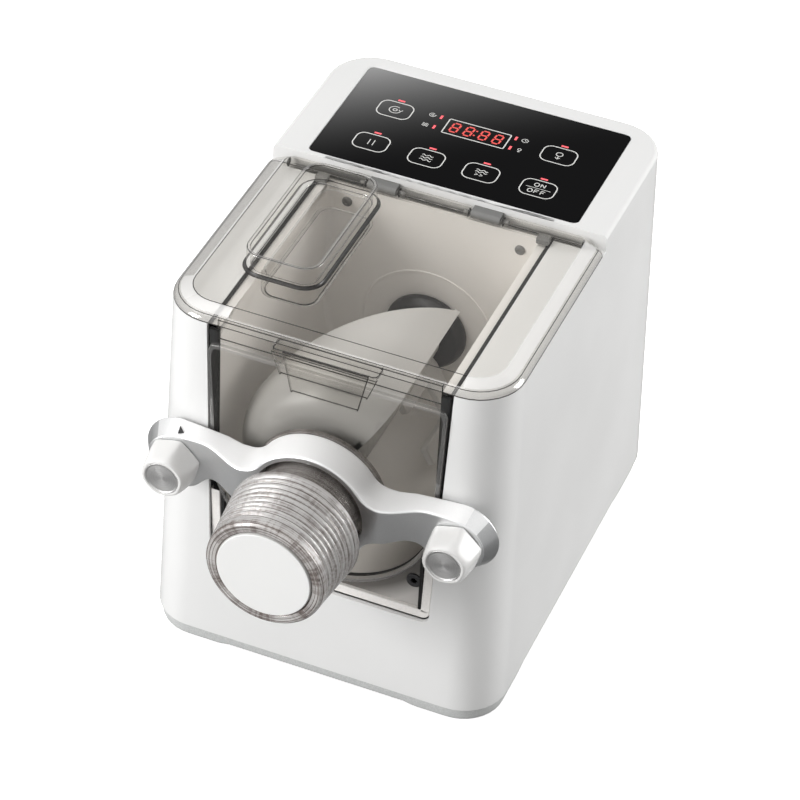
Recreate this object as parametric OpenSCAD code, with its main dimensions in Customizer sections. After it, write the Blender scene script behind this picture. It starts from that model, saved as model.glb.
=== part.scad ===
// Counter-top electric pasta maker.
// Millimetres, +Z up, +Y to the back. Drawn about the centre of the casing's footprint, and moved
// at the end so that the origin is the centre of the machine's whole outline, on the table.

/* [Body] */
// Width of the white shell at its lower edge
foot_w = 233; // [228:1:244]
// Depth of the white shell at its lower edge
foot_d = 297; // [292:1:306]
// Height of the shell's lower edge above the table
shell_z = 10.5; // [9:0.5:13]
// Height of the shoulders under the lid
shoulder_z = 250; // [246:1:258]
// Height of the control deck above the shoulders
deck_h = 11; // [9:0.5:14]
// Draft of the walls, in degrees from upright
draft = 1.6; // [1.2:0.1:1.8]
// Radius of the upright corners
corner_r = 29.5; // [26:0.5:33]
// Wall of the plastic shells
wall = 2.8; // [2.2:0.1:3.2]
// Inset of the grey skirt from the white shell
skirt_inset = 2; // [1.4:0.2:3]
// Thickness of the rubber pads
pad_h = 3; // [2:0.5:4]

/* [Mixing chamber] */
// Height of the drive axis above the table
axis_z = 156; // [153:1:158]
// Inner radius of the U-shaped tub
tub_r = 69.5; // [67:0.5:70.5]
// Wall of the tub
tub_wall = 2.6; // [2:0.1:3]
// Front rim of the tub
tub_front_y = -139.5; // [-140.5:0.5:-137]
// Inner face of the chamber's back wall
tub_back_y = 19; // [17:0.5:19.5]
// Half width of the front slot at the shoulders
slot_top = 77.3; // [76.8:0.1:78.5]
// Half width of the front slot at its lower edge
slot_low = 72.3; // [71.5:0.1:73.5]
// Height of the slot's lower edge
slot_z = 73.5; // [71:0.5:76]
// Thickness of the black chamber seal
seal_t = 2.7; // [2.2:0.1:3]
// Thickness of the clear front cover
cover_t = 3; // [2.5:0.1:3.4]
// Height of the cover's upper edge
cover_top = 238.6; // [234:0.2:239]

/* [Lid] */
// Height of the lid from its rim to its top
lid_h = 7.2; // [6.8:0.1:8.4]
// Wall of the clear lid
lid_wall = 2.5; // [2:0.1:2.8]
// Depth of the rounded front edge
lid_round = 12; // [9:0.5:14]
// Height of the feed chute's collar above the lid
chute_h = 14; // [10:0.5:18]
// Width of the feed chute's collar
chute_w = 48.5; // [44:0.5:49]
// Length of the feed chute's collar
chute_l = 103; // [90:1:105]
// Opening angle of the lid
lid_open = 100; // [80:1:100]

/* [Clamp bar and barrel] */
// Distance between the two knobs
knob_span = 180; // [178:1:184]
// Height of the knobs above the table
knob_z = 153.6; // [152:0.2:156]
// Thickness of the bar at its middle
bar_t = 20; // [18:0.5:22]
// Thickness of the bar at the knobs
bar_end_t = 10; // [8:0.5:12]
// Radius of the bar's hole
bar_hole_r = 35.4; // [34.8:0.1:36]
// Outer radius of the barrel
barrel_r = 33; // [32:0.1:33.4]
// Wall of the barrel
barrel_wall = 3.2; // [3:0.1:3.6]
// Front end of the barrel
barrel_end_y = -226; // [-230:1:-220]
// Radius of the ring nut at its back
nut_r = 41.2; // [40:0.1:43]
// Radius of the ring nut at its front
nut_front_r = 36.6; // [36:0.1:38]
// Way between the bar and the ring nut
nut_way = 17.5; // [15:0.5:20]
// Radius of the bar's studs
stud_r = 4; // [3.5:0.1:4.5]
// Length of a hand knob
knob_l = 18.8; // [16:0.2:22]

/* [Drive] */
// Teeth of the output gear
out_teeth = 54; // [50:1:56]
// Teeth of the small intermediate gear
mid_small_teeth = 14; // [13:1:15]
// Teeth of the large intermediate gear
mid_large_teeth = 42; // [38:1:44]
// Teeth of the motor pinion
pinion_teeth = 12; // [11:1:13]
// Module of the slow pair
slow_module = 1.5; // [1.4:0.05:1.5]
// Module of the fast pair
fast_module = 1.25; // [1.1:0.05:1.3]
// Radius of the drive shaft
shaft_r = 7; // [6:0.5:8]
// Radius of the charcoal hub
hub_r = 27; // [24:0.5:29]
// Outer radius of the paddle's wing
wing_r = 64.5; // [60:0.5:66]
// Outer radius of the kneading auger
auger_r = 29.2; // [28:0.1:29.4]

/* [Controls] */
// Width of the control glass
glass_w = 176.8; // [170:0.4:180]
// Depth of the control glass
glass_d = 100.6; // [96:0.4:102]
// Thickness of the control glass
glass_t = 2; // [1.6:0.1:2.4]

/* [Hidden] */
$fn = 96;

gap = 0.3;               // clearance round parts that move or drop in
run = 0.05;              // radial clearance of a running fit
skin = 0.02;             // thickness of the slices that a hull joins
far = 400;               // longer than the whole machine
disc_out = 1;            // how far the end disc stands out of the nut

deck_z = shoulder_z + deck_h;
function half_w(z) = foot_w / 2 - (z - shell_z) * tan(draft);
function half_d(z) = foot_d / 2 - (z - shell_z) * tan(draft);
function slot_half(z) = slot_low + (slot_top - slot_low) * (z - slot_z) / (shoulder_z - slot_z);

axis_pt = [0, axis_z];
tub_top = shoulder_z - 1;
tub_out = tub_r + tub_wall;
tub_rear = tub_back_y + tub_wall;
seal_front = tub_front_y - seal_t;
cover_front = seal_front - cover_t;
cover_lip = 1.6;         // gap between the slot's edge and the cover

lid_z = shoulder_z + gap;
lid_top = lid_z + lid_h;
mouth_back = tub_rear + 1;
deck_front = mouth_back + 1;
hinge_r = 3;
hinge_y = deck_front - 1.8 - hinge_r;
hinge_z = lid_top - hinge_r;
lug_x = 34;
lug_w = 19;

chute_right = -28.5;
chute_mid_x = chute_right - chute_w / 2;
chute_front = -97;
chute_drop = 16;

flange_t = 3.3;
bar_back = cover_front - flange_t;
bar_front = bar_back - bar_t;
bar_end_front = bar_back - bar_end_t;
eye_r = 23;
ring_r = 41;
bar_low_z = axis_z - 8;
bar_high_z = axis_z + 18.5;

disc_t = 4;
disc_r = 29.4;
nut_front = barrel_end_y - disc_t;
nut_back = bar_front - nut_way;
nut_l = nut_back - nut_front;
origin_y = (foot_d / 2 + nut_front - disc_out) / 2;
knob_back = bar_end_front - 0.2;
knob_front = knob_back - knob_l;
knob_r = 17;
knob_disc_r = 11.1;

bearing_r = 15;
bearing_w = 9;
case_front = tub_rear + 6;
case_plate = 3;
slow_y = case_front + bearing_w + 1;
slow_w = 12;
fast_y = slow_y + slow_w + 2;
fast_w = 8;
case_rear = fast_y + fast_w + 5;
slow_dist = slow_module * (out_teeth + mid_small_teeth) / 2;
fast_dist = fast_module * (mid_large_teeth + pinion_teeth) / 2;
mid_x = -0.6 * slow_dist;
mid_z = axis_z - 0.8 * slow_dist;
motor_x = mid_x + 0.6 * fast_dist;
motor_z = mid_z - 0.8 * fast_dist;
motor_r = 36;
motor_front = case_rear + case_plate;
motor_l = 66;
motor_rear = motor_front + motor_l;
rotor_r = 4;
axle_r = 4;

floor_z = 8;
floor_t = 3;
glass_y = deck_front + 4.8;
glass_top = deck_z - 0.8;
board_t = 1.6;

// ---------- shared shapes ----------

// Corner points of a round corner, from one angle to the next
function arc(x, y, r, a0, a1, n = 8) =
    [for (i = [0:n]) let (a = a0 + (a1 - a0) * i / n) [x + r * cos(a), y + r * sin(a)]];

// Outline with its own radius for the front and the back corners
function outline(hw, y0, y1, rf, rb) = concat(
    arc(hw - rf, y0 + rf, rf, -90, 0), arc(hw - rb, y1 - rb, rb, 0, 90),
    arc(-hw + rb, y1 - rb, rb, 90, 180), arc(-hw + rf, y0 + rf, rf, 180, 270));

// Box outline with one corner radius, in its own plane
function plate_pts(x0, x1, y0, y1, r) = concat(
    arc(x1 - r, y0 + r, r, -90, 0), arc(x1 - r, y1 - r, r, 0, 90),
    arc(x0 + r, y1 - r, r, 90, 180), arc(x0 + r, y0 + r, r, 180, 270));

// Extrudes an outline drawn in X and Z from y0 back to y1
module along_y(y0, y1) {
    translate([0, y1, 0]) rotate([90, 0, 0]) linear_extrude(y1 - y0) children();
}

// Round bar along Y
module rod_y(x, z, r, y0, y1) {
    translate([x, y1, z]) rotate([90, 0, 0]) cylinder(r = r, h = y1 - y0);
}

// Round tapered bar along Y, r0 at its front
module cone_y(x, z, r0, r1, y0, y1) {
    translate([x, y1, z]) rotate([90, 0, 0]) cylinder(r1 = r1, r2 = r0, h = y1 - y0);
}

// Box between two corners
module box(a, b) { translate(a) cube(b - a); }

// Slice of the drafted body at one height
module slice(z, grow = 0) {
    translate([0, 0, z]) linear_extrude(skin)
        polygon(outline(half_w(z) + grow, -half_d(z) - grow, half_d(z) + grow,
            corner_r + grow, corner_r + grow));
}

// Drafted block between two heights
module drafted(z0, z1, grow = 0) {
    hull() { slice(z0, grow); slice(z1 - skin, grow); }
}

// U shape of the chamber, drawn in X and Z
module u_shape(r, top) {
    translate(axis_pt) circle(r);
    translate([-r, axis_z]) square([2 * r, top - axis_z]);
}

// Front outline of the cover: slanted sides down to the U
module cover_shape(inset, top) {
    r = slot_half(axis_z) - cover_lip - inset;
    low = slot_half(axis_z) - cover_lip - inset;
    high = slot_half(top) - cover_lip - inset;
    translate(axis_pt) circle(r);
    polygon([[-low, axis_z], [low, axis_z], [high, top], [-high, top]]);
}

// ---------- gear teeth ----------

function inv_x(rb, t) = rb * (cos(t) + t * PI / 180 * sin(t));
function inv_y(rb, t) = rb * (sin(t) - t * PI / 180 * cos(t));
function inv_pt(rb, t, turn, side) = [
    inv_x(rb, t) * cos(turn) - side * inv_y(rb, t) * sin(turn),
    inv_x(rb, t) * sin(turn) + side * inv_y(rb, t) * cos(turn)];

// Spur gear drawn in its own plane, one tooth centred on +X, thinned for backlash
module gear_2d(m, teeth) {
    pitch_r = m * teeth / 2;
    base_r = pitch_r * cos(20);
    tip_r = pitch_r + 0.9 * m;
    root_r = pitch_r - 1.2 * m;
    roll_tip = sqrt(pow(tip_r / base_r, 2) - 1) * 180 / PI;
    roll_pitch = tan(20) * 180 / PI;
    half = 90 / teeth - 0.14 / pitch_r * 180 / PI + (roll_pitch - 20);
    steps = 4;
    flank = [for (i = [0:steps]) roll_tip * sqrt(i / steps)];
    circle(root_r + 0.01);
    for (k = [0:teeth - 1]) rotate(k * 360 / teeth) polygon(concat(
        [[root_r * 0.9 * cos(half), -root_r * 0.9 * sin(half)]],
        [for (t = flank) inv_pt(base_r, t, -half, 1)],
        [for (i = [0:steps]) inv_pt(base_r, flank[steps - i], half, -1)],
        [[root_r * 0.9 * cos(half), root_r * 0.9 * sin(half)]]));
}

// ---------- casing ----------

// White outer shell, open at the bottom, the mouth, the front slot and under the deck
module housing() color("white") {
    boss_x = foot_w / 2 - corner_r + 0.707 * (corner_r - 7.5);
    boss_y = foot_d / 2 - corner_r + 0.707 * (corner_r - 7.5);
    difference() {
        drafted(shell_z, shoulder_z);
        difference() {
            drafted(shell_z - 1, shoulder_z - wall, -wall);
            for (x = [-boss_x, boss_x], y = [-boss_y, boss_y])
                translate([x, y, shell_z + 5]) cylinder(r = 5, h = 50);
            for (s = [-1, 1]) rod_y(s * knob_span / 2, knob_z, stud_r + 2.6, -far, bracket_y);
        }
        box([-slot_top, -far, shoulder_z - wall - 1], [slot_top, mouth_back, shoulder_z + 1]);
        along_y(-far, inner_y(shoulder_z) + 1) slot_shape();
        translate([0, 0, shoulder_z - wall - 1]) linear_extrude(far) polygon(
            plate_pts(-half_w(shoulder_z) + 14, half_w(shoulder_z) - 14,
                deck_front + 8, half_d(shoulder_z) - 12, 12));
        for (x = [-boss_x, boss_x], y = [-boss_y, boss_y])
            translate([x, y, shell_z + 4]) cylinder(r = 1.6, h = 20);
        for (s = [-1, 1]) {
            rod_y(s * knob_span / 2, knob_z, stud_r + 0.2, -far, 0);
            rod_y(s * knob_span / 2, knob_z, 7.4, -far, spot_y);
        }
        for (i = [0:9], s = [0, 1]) translate([-54 + i * 12, half_d(0) - 20, 60 + s * 70])
            linear_extrude(50) polygon(plate_pts(-2.2, 2.2, 0, 40, 1.5));
        along_y(half_d(0) - 20, far) translate([inlet_x, inlet_z])
            square([inlet_w + 0.4, inlet_h + 0.4], center = true);
    }
}

// Outline of the front slot, with round lower corners
module slot_shape() {
    r = 6;
    low = slot_half(slot_z);
    polygon(concat([[slot_half(shoulder_z + 5), shoulder_z + 5],
        [-slot_half(shoulder_z + 5), shoulder_z + 5]],
        arc(-low + r, slot_z + r, r, 180, 270), arc(low - r, slot_z + r, r, -90, 0)));
}

// Flat seat on the front wall for the stud collars
spot_y = -half_d(knob_z) + 0.5;

// White frame that holds the control glass
module deck() color("white") {
    edge = 3;
    difference() {
        union() {
            difference() {
                hull() {
                    slice(shoulder_z);
                    slice(deck_z - edge);
                    slice(deck_z - 0.3 * edge, -0.35 * edge);
                    slice(deck_z - skin, -edge);
                }
                box([-far, -far, 0], [far, deck_front, far]);
            }
            for (s = [-1, 1]) translate([s * lug_x - lug_w / 2, 0, 0]) {
                translate([0, hinge_y, hinge_z]) rotate([0, 90, 0])
                    cylinder(r = hinge_r, h = lug_w);
                box([0, hinge_y, hinge_z - hinge_r], [lug_w, deck_front + 1, hinge_z + hinge_r]);
            }
        }
        difference() {
            translate([0, 0, shoulder_z - 1]) linear_extrude(glass_top - glass_t - 2 - shoulder_z + 1)
                polygon(plate_pts(-half_w(deck_z) + 8, half_w(deck_z) - 8,
                    deck_front + 3.2, half_d(deck_z) - 8, 14));
            for (x = [-68, 68], y = [-30, 30]) translate([x, glass_y + glass_d / 2 + y,
                board_z + board_t]) cylinder(r = 3, h = far);
        }
        pocket(glass_top - glass_t, 0);
        box([-21.5, glass_y + 51.5, shoulder_z], [21.5, glass_y + 70.5, deck_z]);
        for (p = key_places) translate([p[0], glass_y + p[1], shoulder_z]) cylinder(r = 5.5, h = 20);
        hull() {
            pocket_slice(glass_top - 0.2, 0.2);
            pocket_slice(deck_z + 0.2, 1.4);
        }
        for (s = [-1, 1]) translate([s * lug_x - lug_w, hinge_y, hinge_z]) rotate([0, 90, 0])
            cylinder(r = pin_r, h = 2 * lug_w);
    }
}

pin_r = 1.5;
board_z = shoulder_z + 1.5;

module pocket_slice(z, grow) {
    translate([0, 0, z]) linear_extrude(skin) polygon(plate_pts(-glass_w / 2 - grow,
        glass_w / 2 + grow, glass_y - grow, glass_y + glass_d + grow, 4 + grow));
}

module pocket(z, grow) {
    translate([0, 0, z]) linear_extrude(far) polygon(plate_pts(-glass_w / 2 - 0.2 - grow,
        glass_w / 2 + 0.2 + grow, glass_y - 0.2 - grow, glass_y + glass_d + 0.2 + grow, 4.2 + grow));
}

pad_x = foot_w / 2 - 28;
pad_y = foot_d / 2 - 30;

// Grey floor with its drafted skirt, corner feet and cooling slots
module base() color("darkgray") {
    low = 1.2;
    difference() {
        union() {
            hull() {
                slice(low, -skirt_inset - 3.5);
                slice(low + 2.5, -skirt_inset - 1.2);
                slice(shell_z - skin, -skirt_inset);
            }
            translate([0, 0, shell_z]) linear_extrude(3) polygon(base_lip(-wall - 0.3));
        }
        translate([0, 0, floor_z + floor_t]) linear_extrude(far) polygon(base_lip(-wall - 3));
        difference() {
            translate([0, 0, -1]) linear_extrude(floor_z + 1) polygon(base_lip(-skirt_inset - 9));
            for (x = [-pad_x, pad_x], y = [-pad_y, pad_y])
                translate([x, y, 0]) cylinder(r = 14, h = floor_z);
            screw_posts(6, -1, floor_z + 1);
        }
        for (x = [-pad_x, pad_x], y = [-pad_y, pad_y])
            translate([x, y, -1]) cylinder(r = pad_r + 0.1, h = pad_h + 1);
        box([-pad_x + 26, -far, -1], [pad_x - 26, far, low + 1.4]);
        box([-far, -pad_y + 30, -1], [far, pad_y - 30, low + 1.4]);
        screw_posts(1.8, -1, far);
        screw_posts(3.4, -1, 5);
        for (i = [0:8]) translate([-60 + i * 12, 45, 0]) linear_extrude(far)
            polygon(plate_pts(-2, 2, 0, 60, 1.5));
    }
}

pad_r = 11;

function base_lip(grow) = outline(half_w(shell_z) + grow, -half_d(shell_z) - grow,
    half_d(shell_z) + grow, corner_r + grow, corner_r + grow);

// Round posts at the four corner bosses
module screw_posts(r, z0, z1) {
    x = foot_w / 2 - corner_r + 0.707 * (corner_r - 7.5);
    y = foot_d / 2 - corner_r + 0.707 * (corner_r - 7.5);
    for (sx = [-1, 1], sy = [-1, 1]) translate([sx * x, sy * y, z0]) cylinder(r = r, h = z1 - z0);
}

// Four rubber pads
module pads() color("dimgray") {
    for (x = [-pad_x, pad_x], y = [-pad_y, pad_y]) translate([x, y, 0])
        cylinder(r = pad_r, h = pad_h);
}

// Screws that hold the base to the shell's bosses
module base_screws() color("silver") {
    screw_posts(1.6, 5, shell_z + 20);
    screw_posts(3, 3, 5);
}

// ---------- mixing chamber ----------

// U-shaped trough with its back wall, top rim and front flange
module tub() color("linen") {
    difference() {
        union() {
            along_y(tub_front_y, tub_rear) u_shape(tub_out, tub_top);
            tub_flange();
            box([-slot_top - 8, inner_y(shoulder_z - wall) + 1, shoulder_z - wall - 2.4],
                [slot_top + 8, tub_rear, shoulder_z - wall]);
            box([-slot_top + gap, tub_front_y, shoulder_z - wall - 1],
                [slot_top - gap, tub_rear, tub_top]);
            along_y(tub_back_y - 1.2, tub_rear) translate(axis_pt) circle(44.5);
            rod_y(0, axis_z, seal_r + 3, tub_rear - 1, case_front);
        }
        along_y(tub_front_y - 1, tub_back_y - 1.2) u_shape(tub_r, shoulder_z + 5);
        along_y(tub_back_y - 2, tub_back_y) difference() {
            u_shape(tub_r, shoulder_z + 5);
            translate(axis_pt) circle(44.5);
        }
        rod_y(0, axis_z, 42.5, tub_back_y - 2, tub_back_y);
        rod_y(0, axis_z, seal_r, tub_back_y - 2, case_front + 1);
        for (s = [-1, 1]) rod_y(s * 57, 237, 1.5, tub_back_y - 3, far);
    }
}

seal_r = 19;
function inner_y(z) = -half_d(z) + wall;

// Flange that lies against the inside of the drafted front wall, round the slot
module tub_flange() difference() {
    along_y(-far, tub_front_y + tub_wall)
        polygon(plate_pts(-slot_top - 2, slot_top + 2, slot_z - 10, shoulder_z - wall, 1));
    rotate([90, 0, 90]) translate([0, 0, -far / 2]) linear_extrude(far) polygon([[-2 * far, 0],
        [inner_y(0), 0], [inner_y(shoulder_z), shoulder_z], [-2 * far, shoulder_z]]);
    along_y(-far, tub_front_y) slot_shape();
}

// Black rubber seal between the tub's rim and the clear cover
module chamber_seal() color("black") along_y(seal_front, tub_front_y) difference() {
    cover_shape(0, shoulder_z - 3);
    u_shape(tub_r, shoulder_z + 5);
    translate([-lip_x - gap, cover_top + 0.8]) square([2 * lip_x + 2 * gap, 20]);
}

lip_x = 70.4;            // half width of the lid's front lip

// Clear front wall of the chamber
module front_cover() color("lightgray", 0.4) along_y(cover_front, seal_front) difference() {
    cover_shape(0.2, cover_top);
    translate(axis_pt) circle(barrel_r - barrel_wall);
}

// Pale frame in the recess below the cover
module recess_trim() color("gainsboro") {
    difference() {
        along_y(cover_front + 1.2, tub_front_y) intersection() {
            offset(delta = -gap) slot_shape();
            translate([-far, 0]) square([2 * far, 128]);
        }
        along_y(-far, far) translate(axis_pt) circle(slot_half(axis_z) - cover_lip + 0.5);
        along_y(-far, seal_front + 0.6) polygon(plate_pts(-slot_low + 6.5, slot_low - 6.5,
            slot_z + 6.5, 200, 3));
        for (s = [-1, 1]) rod_y(s * 60, axis_z - 55, 5.2, -far, far);
    }
}

// Dark round bumpers in the recess
module bumpers() color("black") for (s = [-1, 1]) difference() {
    rod_y(s * 60, axis_z - 55, 5, seal_front - 0.8, tub_front_y);
    rod_y(s * 60, axis_z - 55, 2, seal_front - 1, seal_front + 0.6);
}

// Screws in the back wall
module wall_screws() color("dimgray") for (s = [-1, 1]) difference() {
    union() {
        rod_y(s * 57, 237, 1.5, tub_back_y - 0.5, tub_rear + 4);
        rod_y(s * 57, 237, 3.3, tub_back_y - 2, tub_back_y);
    }
    along_y(tub_back_y - 3, tub_back_y - 1) translate([s * 57, 237]) square([4, 0.8], center = true);
}

// ---------- barrel, clamp bar and nut ----------

// Barrel with the flange that the bar presses on
module barrel() color("whitesmoke") difference() {
    union() {
        rod_y(0, axis_z, barrel_r, barrel_end_y, cover_front);
        rod_y(0, axis_z, ring_r + 1, cover_front - flange_t, cover_front);
        for (i = [0:6]) rod_y(0, axis_z, barrel_r + 1.1, barrel_end_y + 3 + i * 4.5,
            barrel_end_y + 4.8 + i * 4.5);
    }
    rod_y(0, axis_z, barrel_r - barrel_wall, -far, far);
}

// Front outline of the bar: two eyes, a waisted beam and the round hump
module bar_outline() {
    r = 14;
    offset(delta = -r) offset(r = r) {
        translate(axis_pt) circle(ring_r);
        for (s = [-1, 1]) translate([s * knob_span / 2, knob_z]) circle(eye_r);
        for (s = [-1, 1]) polygon([[0, bar_low_z - 4], [s * 48, bar_low_z - 4],
            [s * 70, bar_low_z + 1.5], [s * knob_span / 2, bar_low_z + 2],
            [s * knob_span / 2, knob_z + eye_r - 0.4], [s * 70, bar_high_z + 0.6],
            [s * 54, bar_high_z - 1], [0, bar_high_z - 1]]);
    }
}

// Satin casting that clamps the barrel's flange to the cover
module clamp_bar() color("silver") difference() {
    intersection() {
        along_y(bar_front, bar_back) bar_outline();
        translate([0, 0, axis_z - 60]) linear_extrude(120) polygon(bar_plan());
    }
    rod_y(0, axis_z, bar_hole_r, -far, far);
    rod_y(0, axis_z, bar_hole_r + 2, bar_front + 6, bar_back - 4);
    for (s = [-1, 1]) rod_y(s * knob_span / 2, knob_z, stud_r + 0.3, -far, far);
}

// Bar seen from above: full depth at the middle, thin at both ends
function bar_plan() = concat([[-knob_span / 2 - 40, bar_back], [-knob_span / 2 - 40, bar_end_front]],
    [for (i = [0:8]) let (u = i / 8)
        [-knob_span / 2 + 18 + 30 * u, bar_end_front - (bar_t - bar_end_t) * (1 - cos(180 * u)) / 2]],
    [for (i = [0:8]) let (u = 1 - i / 8)
        [knob_span / 2 - 18 - 30 * u, bar_end_front - (bar_t - bar_end_t) * (1 - cos(180 * u)) / 2]],
    [[knob_span / 2 + 40, bar_end_front], [knob_span / 2 + 40, bar_back]]);

// Steel studs with the collars that space the bar off the body
module studs() color("lightsteelblue") for (s = [-1, 1]) {
    rod_y(s * knob_span / 2, knob_z, stud_r, knob_front + 3.2, bracket_y + 6);
    rod_y(s * knob_span / 2, knob_z, 7, bar_back, spot_y);
}

bracket_y = -half_d(knob_z) + corner_r;

// Steel plates between chamber and shell, with the nuts that carry the studs
module stud_brackets() color("slategray") for (s = [-1, 1]) difference() {
    x = s * knob_span / 2;
    in = tub_out + 4 * gap;
    out = half_w(knob_z + 18) - wall - 4 * gap;
    union() {
        along_y(bracket_y, bracket_y + 2) polygon(plate_pts(s > 0 ? in : -out, s > 0 ? out : -in,
            knob_z - 18, knob_z + 18, 3));
        along_y(bracket_y + 1.9, bracket_y + 5.5) translate([x, knob_z]) circle(6.5, $fn = 6);
    }
    rod_y(x, knob_z, stud_r, -far, far);
}

// Six-sided hand knob with round edges, drawn about its own axis
module knob_shape(r, n = 6) {
    offset(r = 5) offset(delta = -5) circle(r, $fn = n);
}

module knob(x) color("whitesmoke") difference() {
    union() {
        intersection() {
            along_y(knob_front, knob_back) translate([x, knob_z]) rotate(15) knob_shape(knob_r + 1.6);
            cone_y(x, knob_z, 13.2, knob_r + 2.2, knob_front, knob_back);
        }
    }
    rod_y(x, knob_z, stud_r + run, knob_front + 3, knob_back + 1);
    rod_y(x, knob_z, knob_disc_r, knob_front - 1, knob_front + 0.8);
}

module knob_left() knob(-knob_span / 2);
module knob_right() knob(knob_span / 2);

// Spun metal disc in a knob's face, with its shallow dish
module knob_disc(x) color("silver") difference() {
    rod_y(x, knob_z, knob_disc_r, knob_front - 0.2, knob_front + 0.8);
    cone_y(x, knob_z, 10, 0.6, knob_front - 0.21, knob_front + 0.3);
}

module knob_disc_left() knob_disc(-knob_span / 2);
module knob_disc_right() knob_disc(knob_span / 2);

nut_bore = barrel_r + 1.1 + gap;

// Clear ring nut: ribbed cone with an inner lip that holds the end disc
module ring_nut() color("lightgray", 0.4) {
    ribs = 9;
    pitch = (nut_l - 8) / ribs;
    difference() {
        translate([0, 0, axis_z]) rotate([90, 0, 0]) rotate_extrude() polygon(concat(
            [[nut_bore, -nut_back], [nut_r, -nut_back]],
            [for (i = [0:ribs - 1], k = [0, 1]) let (y = nut_back - 4 - (i + 0.2 + 0.5 * k) * pitch,
                taper = (nut_back - y) / nut_l)
                [nut_r - (nut_r - nut_front_r) * taper - 1.3 * k, -y]],
            [[nut_front_r + 0.6, -nut_front - 3], [nut_front_r - 1.5, -nut_front],
                [disc_r + gap, -nut_front], [disc_r + gap, -nut_front - 1.6],
                [nut_bore, -nut_front - 1.6]]));
    }
}

// White disc clamped between the nut's lip and the barrel's end
module end_disc() color("white") {
    rod_y(0, axis_z, nut_bore - gap, nut_front + 1.6 + 0.05, barrel_end_y);
    rod_y(0, axis_z, disc_r, nut_front - disc_out, nut_front + 1.7);
}

// ---------- lid ----------

// Slice of the lid: u runs from 0 at the rim to 1 at the top
module lid_slice(u, grow) {
    k = 1 - sqrt(1 - u * u);
    z = lid_z + (lid_h + (grow < 0 ? grow : 0)) * u;
    hw = half_w(shoulder_z) - 2.8 * k + grow;
    y0 = -half_d(shoulder_z) + lid_round * k - grow;
    translate([0, 0, z - (u > 0 ? skin : 0)]) linear_extrude(skin)
        polygon(outline(hw, y0, lid_back - (grow < 0 ? 12 : 0), corner_r - 3 * k + grow,
            (grow < 0 ? 3 : 6)));
}

lid_back = hinge_y + hinge_r;

// Round-cornered tube, open at both ends, for the feed chute
module chute_block(x0, x1, y0, y1, r, z0, z1) {
    translate([0, 0, z0]) linear_extrude(z1 - z0) polygon(plate_pts(x0, x1, y0, y1, r));
}

// Clear lid with chute, window ribs, front lip and thumb tab
module lid() color("lightgray", 0.4) {
    cl = chute_right - chute_w;
    cb = chute_front + chute_l;
    rib = slot_low - 3;
    difference() {
        union() {
            difference() {
                hull() for (u = [0, 0.5, 0.75, 0.9, 0.97, 1]) lid_slice(u, 0);
                hull() {
                    translate([0, 0, -1]) lid_slice(0, -lid_wall);
                    for (u = [0.6, 0.85, 1]) lid_slice(u, -lid_wall);
                }
            }
            for (s = [-1, 1]) box([s > 0 ? rib : -rib - lid_wall, -half_d(shoulder_z) + 9,
                shoulder_z + 0.6], [s > 0 ? rib + lid_wall : -rib, lid_back - 10, lid_top - 1]);
            along_y(-half_d(shoulder_z) - 0.4, -half_d(shoulder_z) + 2.2)
                polygon(plate_pts(-lip_x, lip_x, cover_top + 1.2, lid_z + 5, 2));
            chute_block(cl, chute_right, chute_front, cb, 12, lid_top - lid_wall, lid_top + chute_h);
            chute_block(-rib + 2, chute_right - 2, chute_front + 2, cb - 2, 10,
                lid_top - chute_drop, lid_top - 1);
            thumb_tab();
        }
        chute_block(cl + 2.4, chute_right - 2.4, chute_front + 2.4, cb - 2.4, 9.6, lid_top, far);
        chute_block(-rib + 4.4, chute_right - 4.4, chute_front + 4.4, cb - 4.4, 7.6, 0, far);
        for (s = [-1, 1]) {
            box([s * lug_x - lug_w / 2 - 1, hinge_y - 6.6, 0],
                [s * lug_x + lug_w / 2 + 1, far, far]);
            translate([s * lug_x - lug_w / 2 - 5.5, hinge_y, hinge_z]) rotate([0, 90, 0])
                cylinder(r = pin_r + run, h = lug_w + 11);
            box([s * 72.5 - 5, lid_back - 12, lid_z - 1], [s * 72.5 + 5, lid_back - 3, lid_z + 4.2]);
        }
        difference() {
            box([-far, hinge_y, 0], [far, far, far]);
            translate([-far, hinge_y, hinge_z]) rotate([0, 90, 0]) cylinder(r = hinge_r, h = 2 * far);
        }
    }
}

// Thumb tab: a short shelf and two tiers that hang in front of the cover
module thumb_tab() {
    y = -half_d(shoulder_z);
    box([-33, y - 8, lid_z + 0.6], [33, y + 4, lid_z + 3]);
    along_y(y - 8.4, y - 6) polygon([[-33, lid_z + 3], [33, lid_z + 3], [27.5, lid_z - 15],
        [-27.5, lid_z - 15]]);
    along_y(y - 6, y - 3.8) polygon([[-27, lid_z + 0.7], [27, lid_z + 0.7], [21, lid_z - 28],
        [-21, lid_z - 28]]);
}

// Dark magnet blocks let into the lid's hinge rail
module hinge_blocks() color("dimgray") for (s = [-1, 1])
    box([s * 72.5 - 5, lid_back - 12, lid_z + 0.2], [s * 72.5 + 5, lid_back - 3, lid_z + 4.2]);

// Two short hinge pins, pressed into the deck's lugs
module hinge_pins() color("silver") for (s = [-1, 1])
    translate([s * lug_x - lug_w / 2 - 5, hinge_y, hinge_z]) rotate([0, 90, 0])
        cylinder(r = pin_r, h = lug_w + 10);

// Reed switch under the shoulder, below a magnet block
module reed_switch() color("olivedrab") {
    box([slot_top + 9, lid_back - 14, shoulder_z - wall - 6],
        [slot_top + 17, lid_back - 2, shoulder_z - wall]);
}

// ---------- mixing and kneading ----------

wing_cut_y = -64.8;
wing_cut_x = 0.948;
wing_cut_z = 0.2;
paddle_front = tub_front_y + 3;

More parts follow.
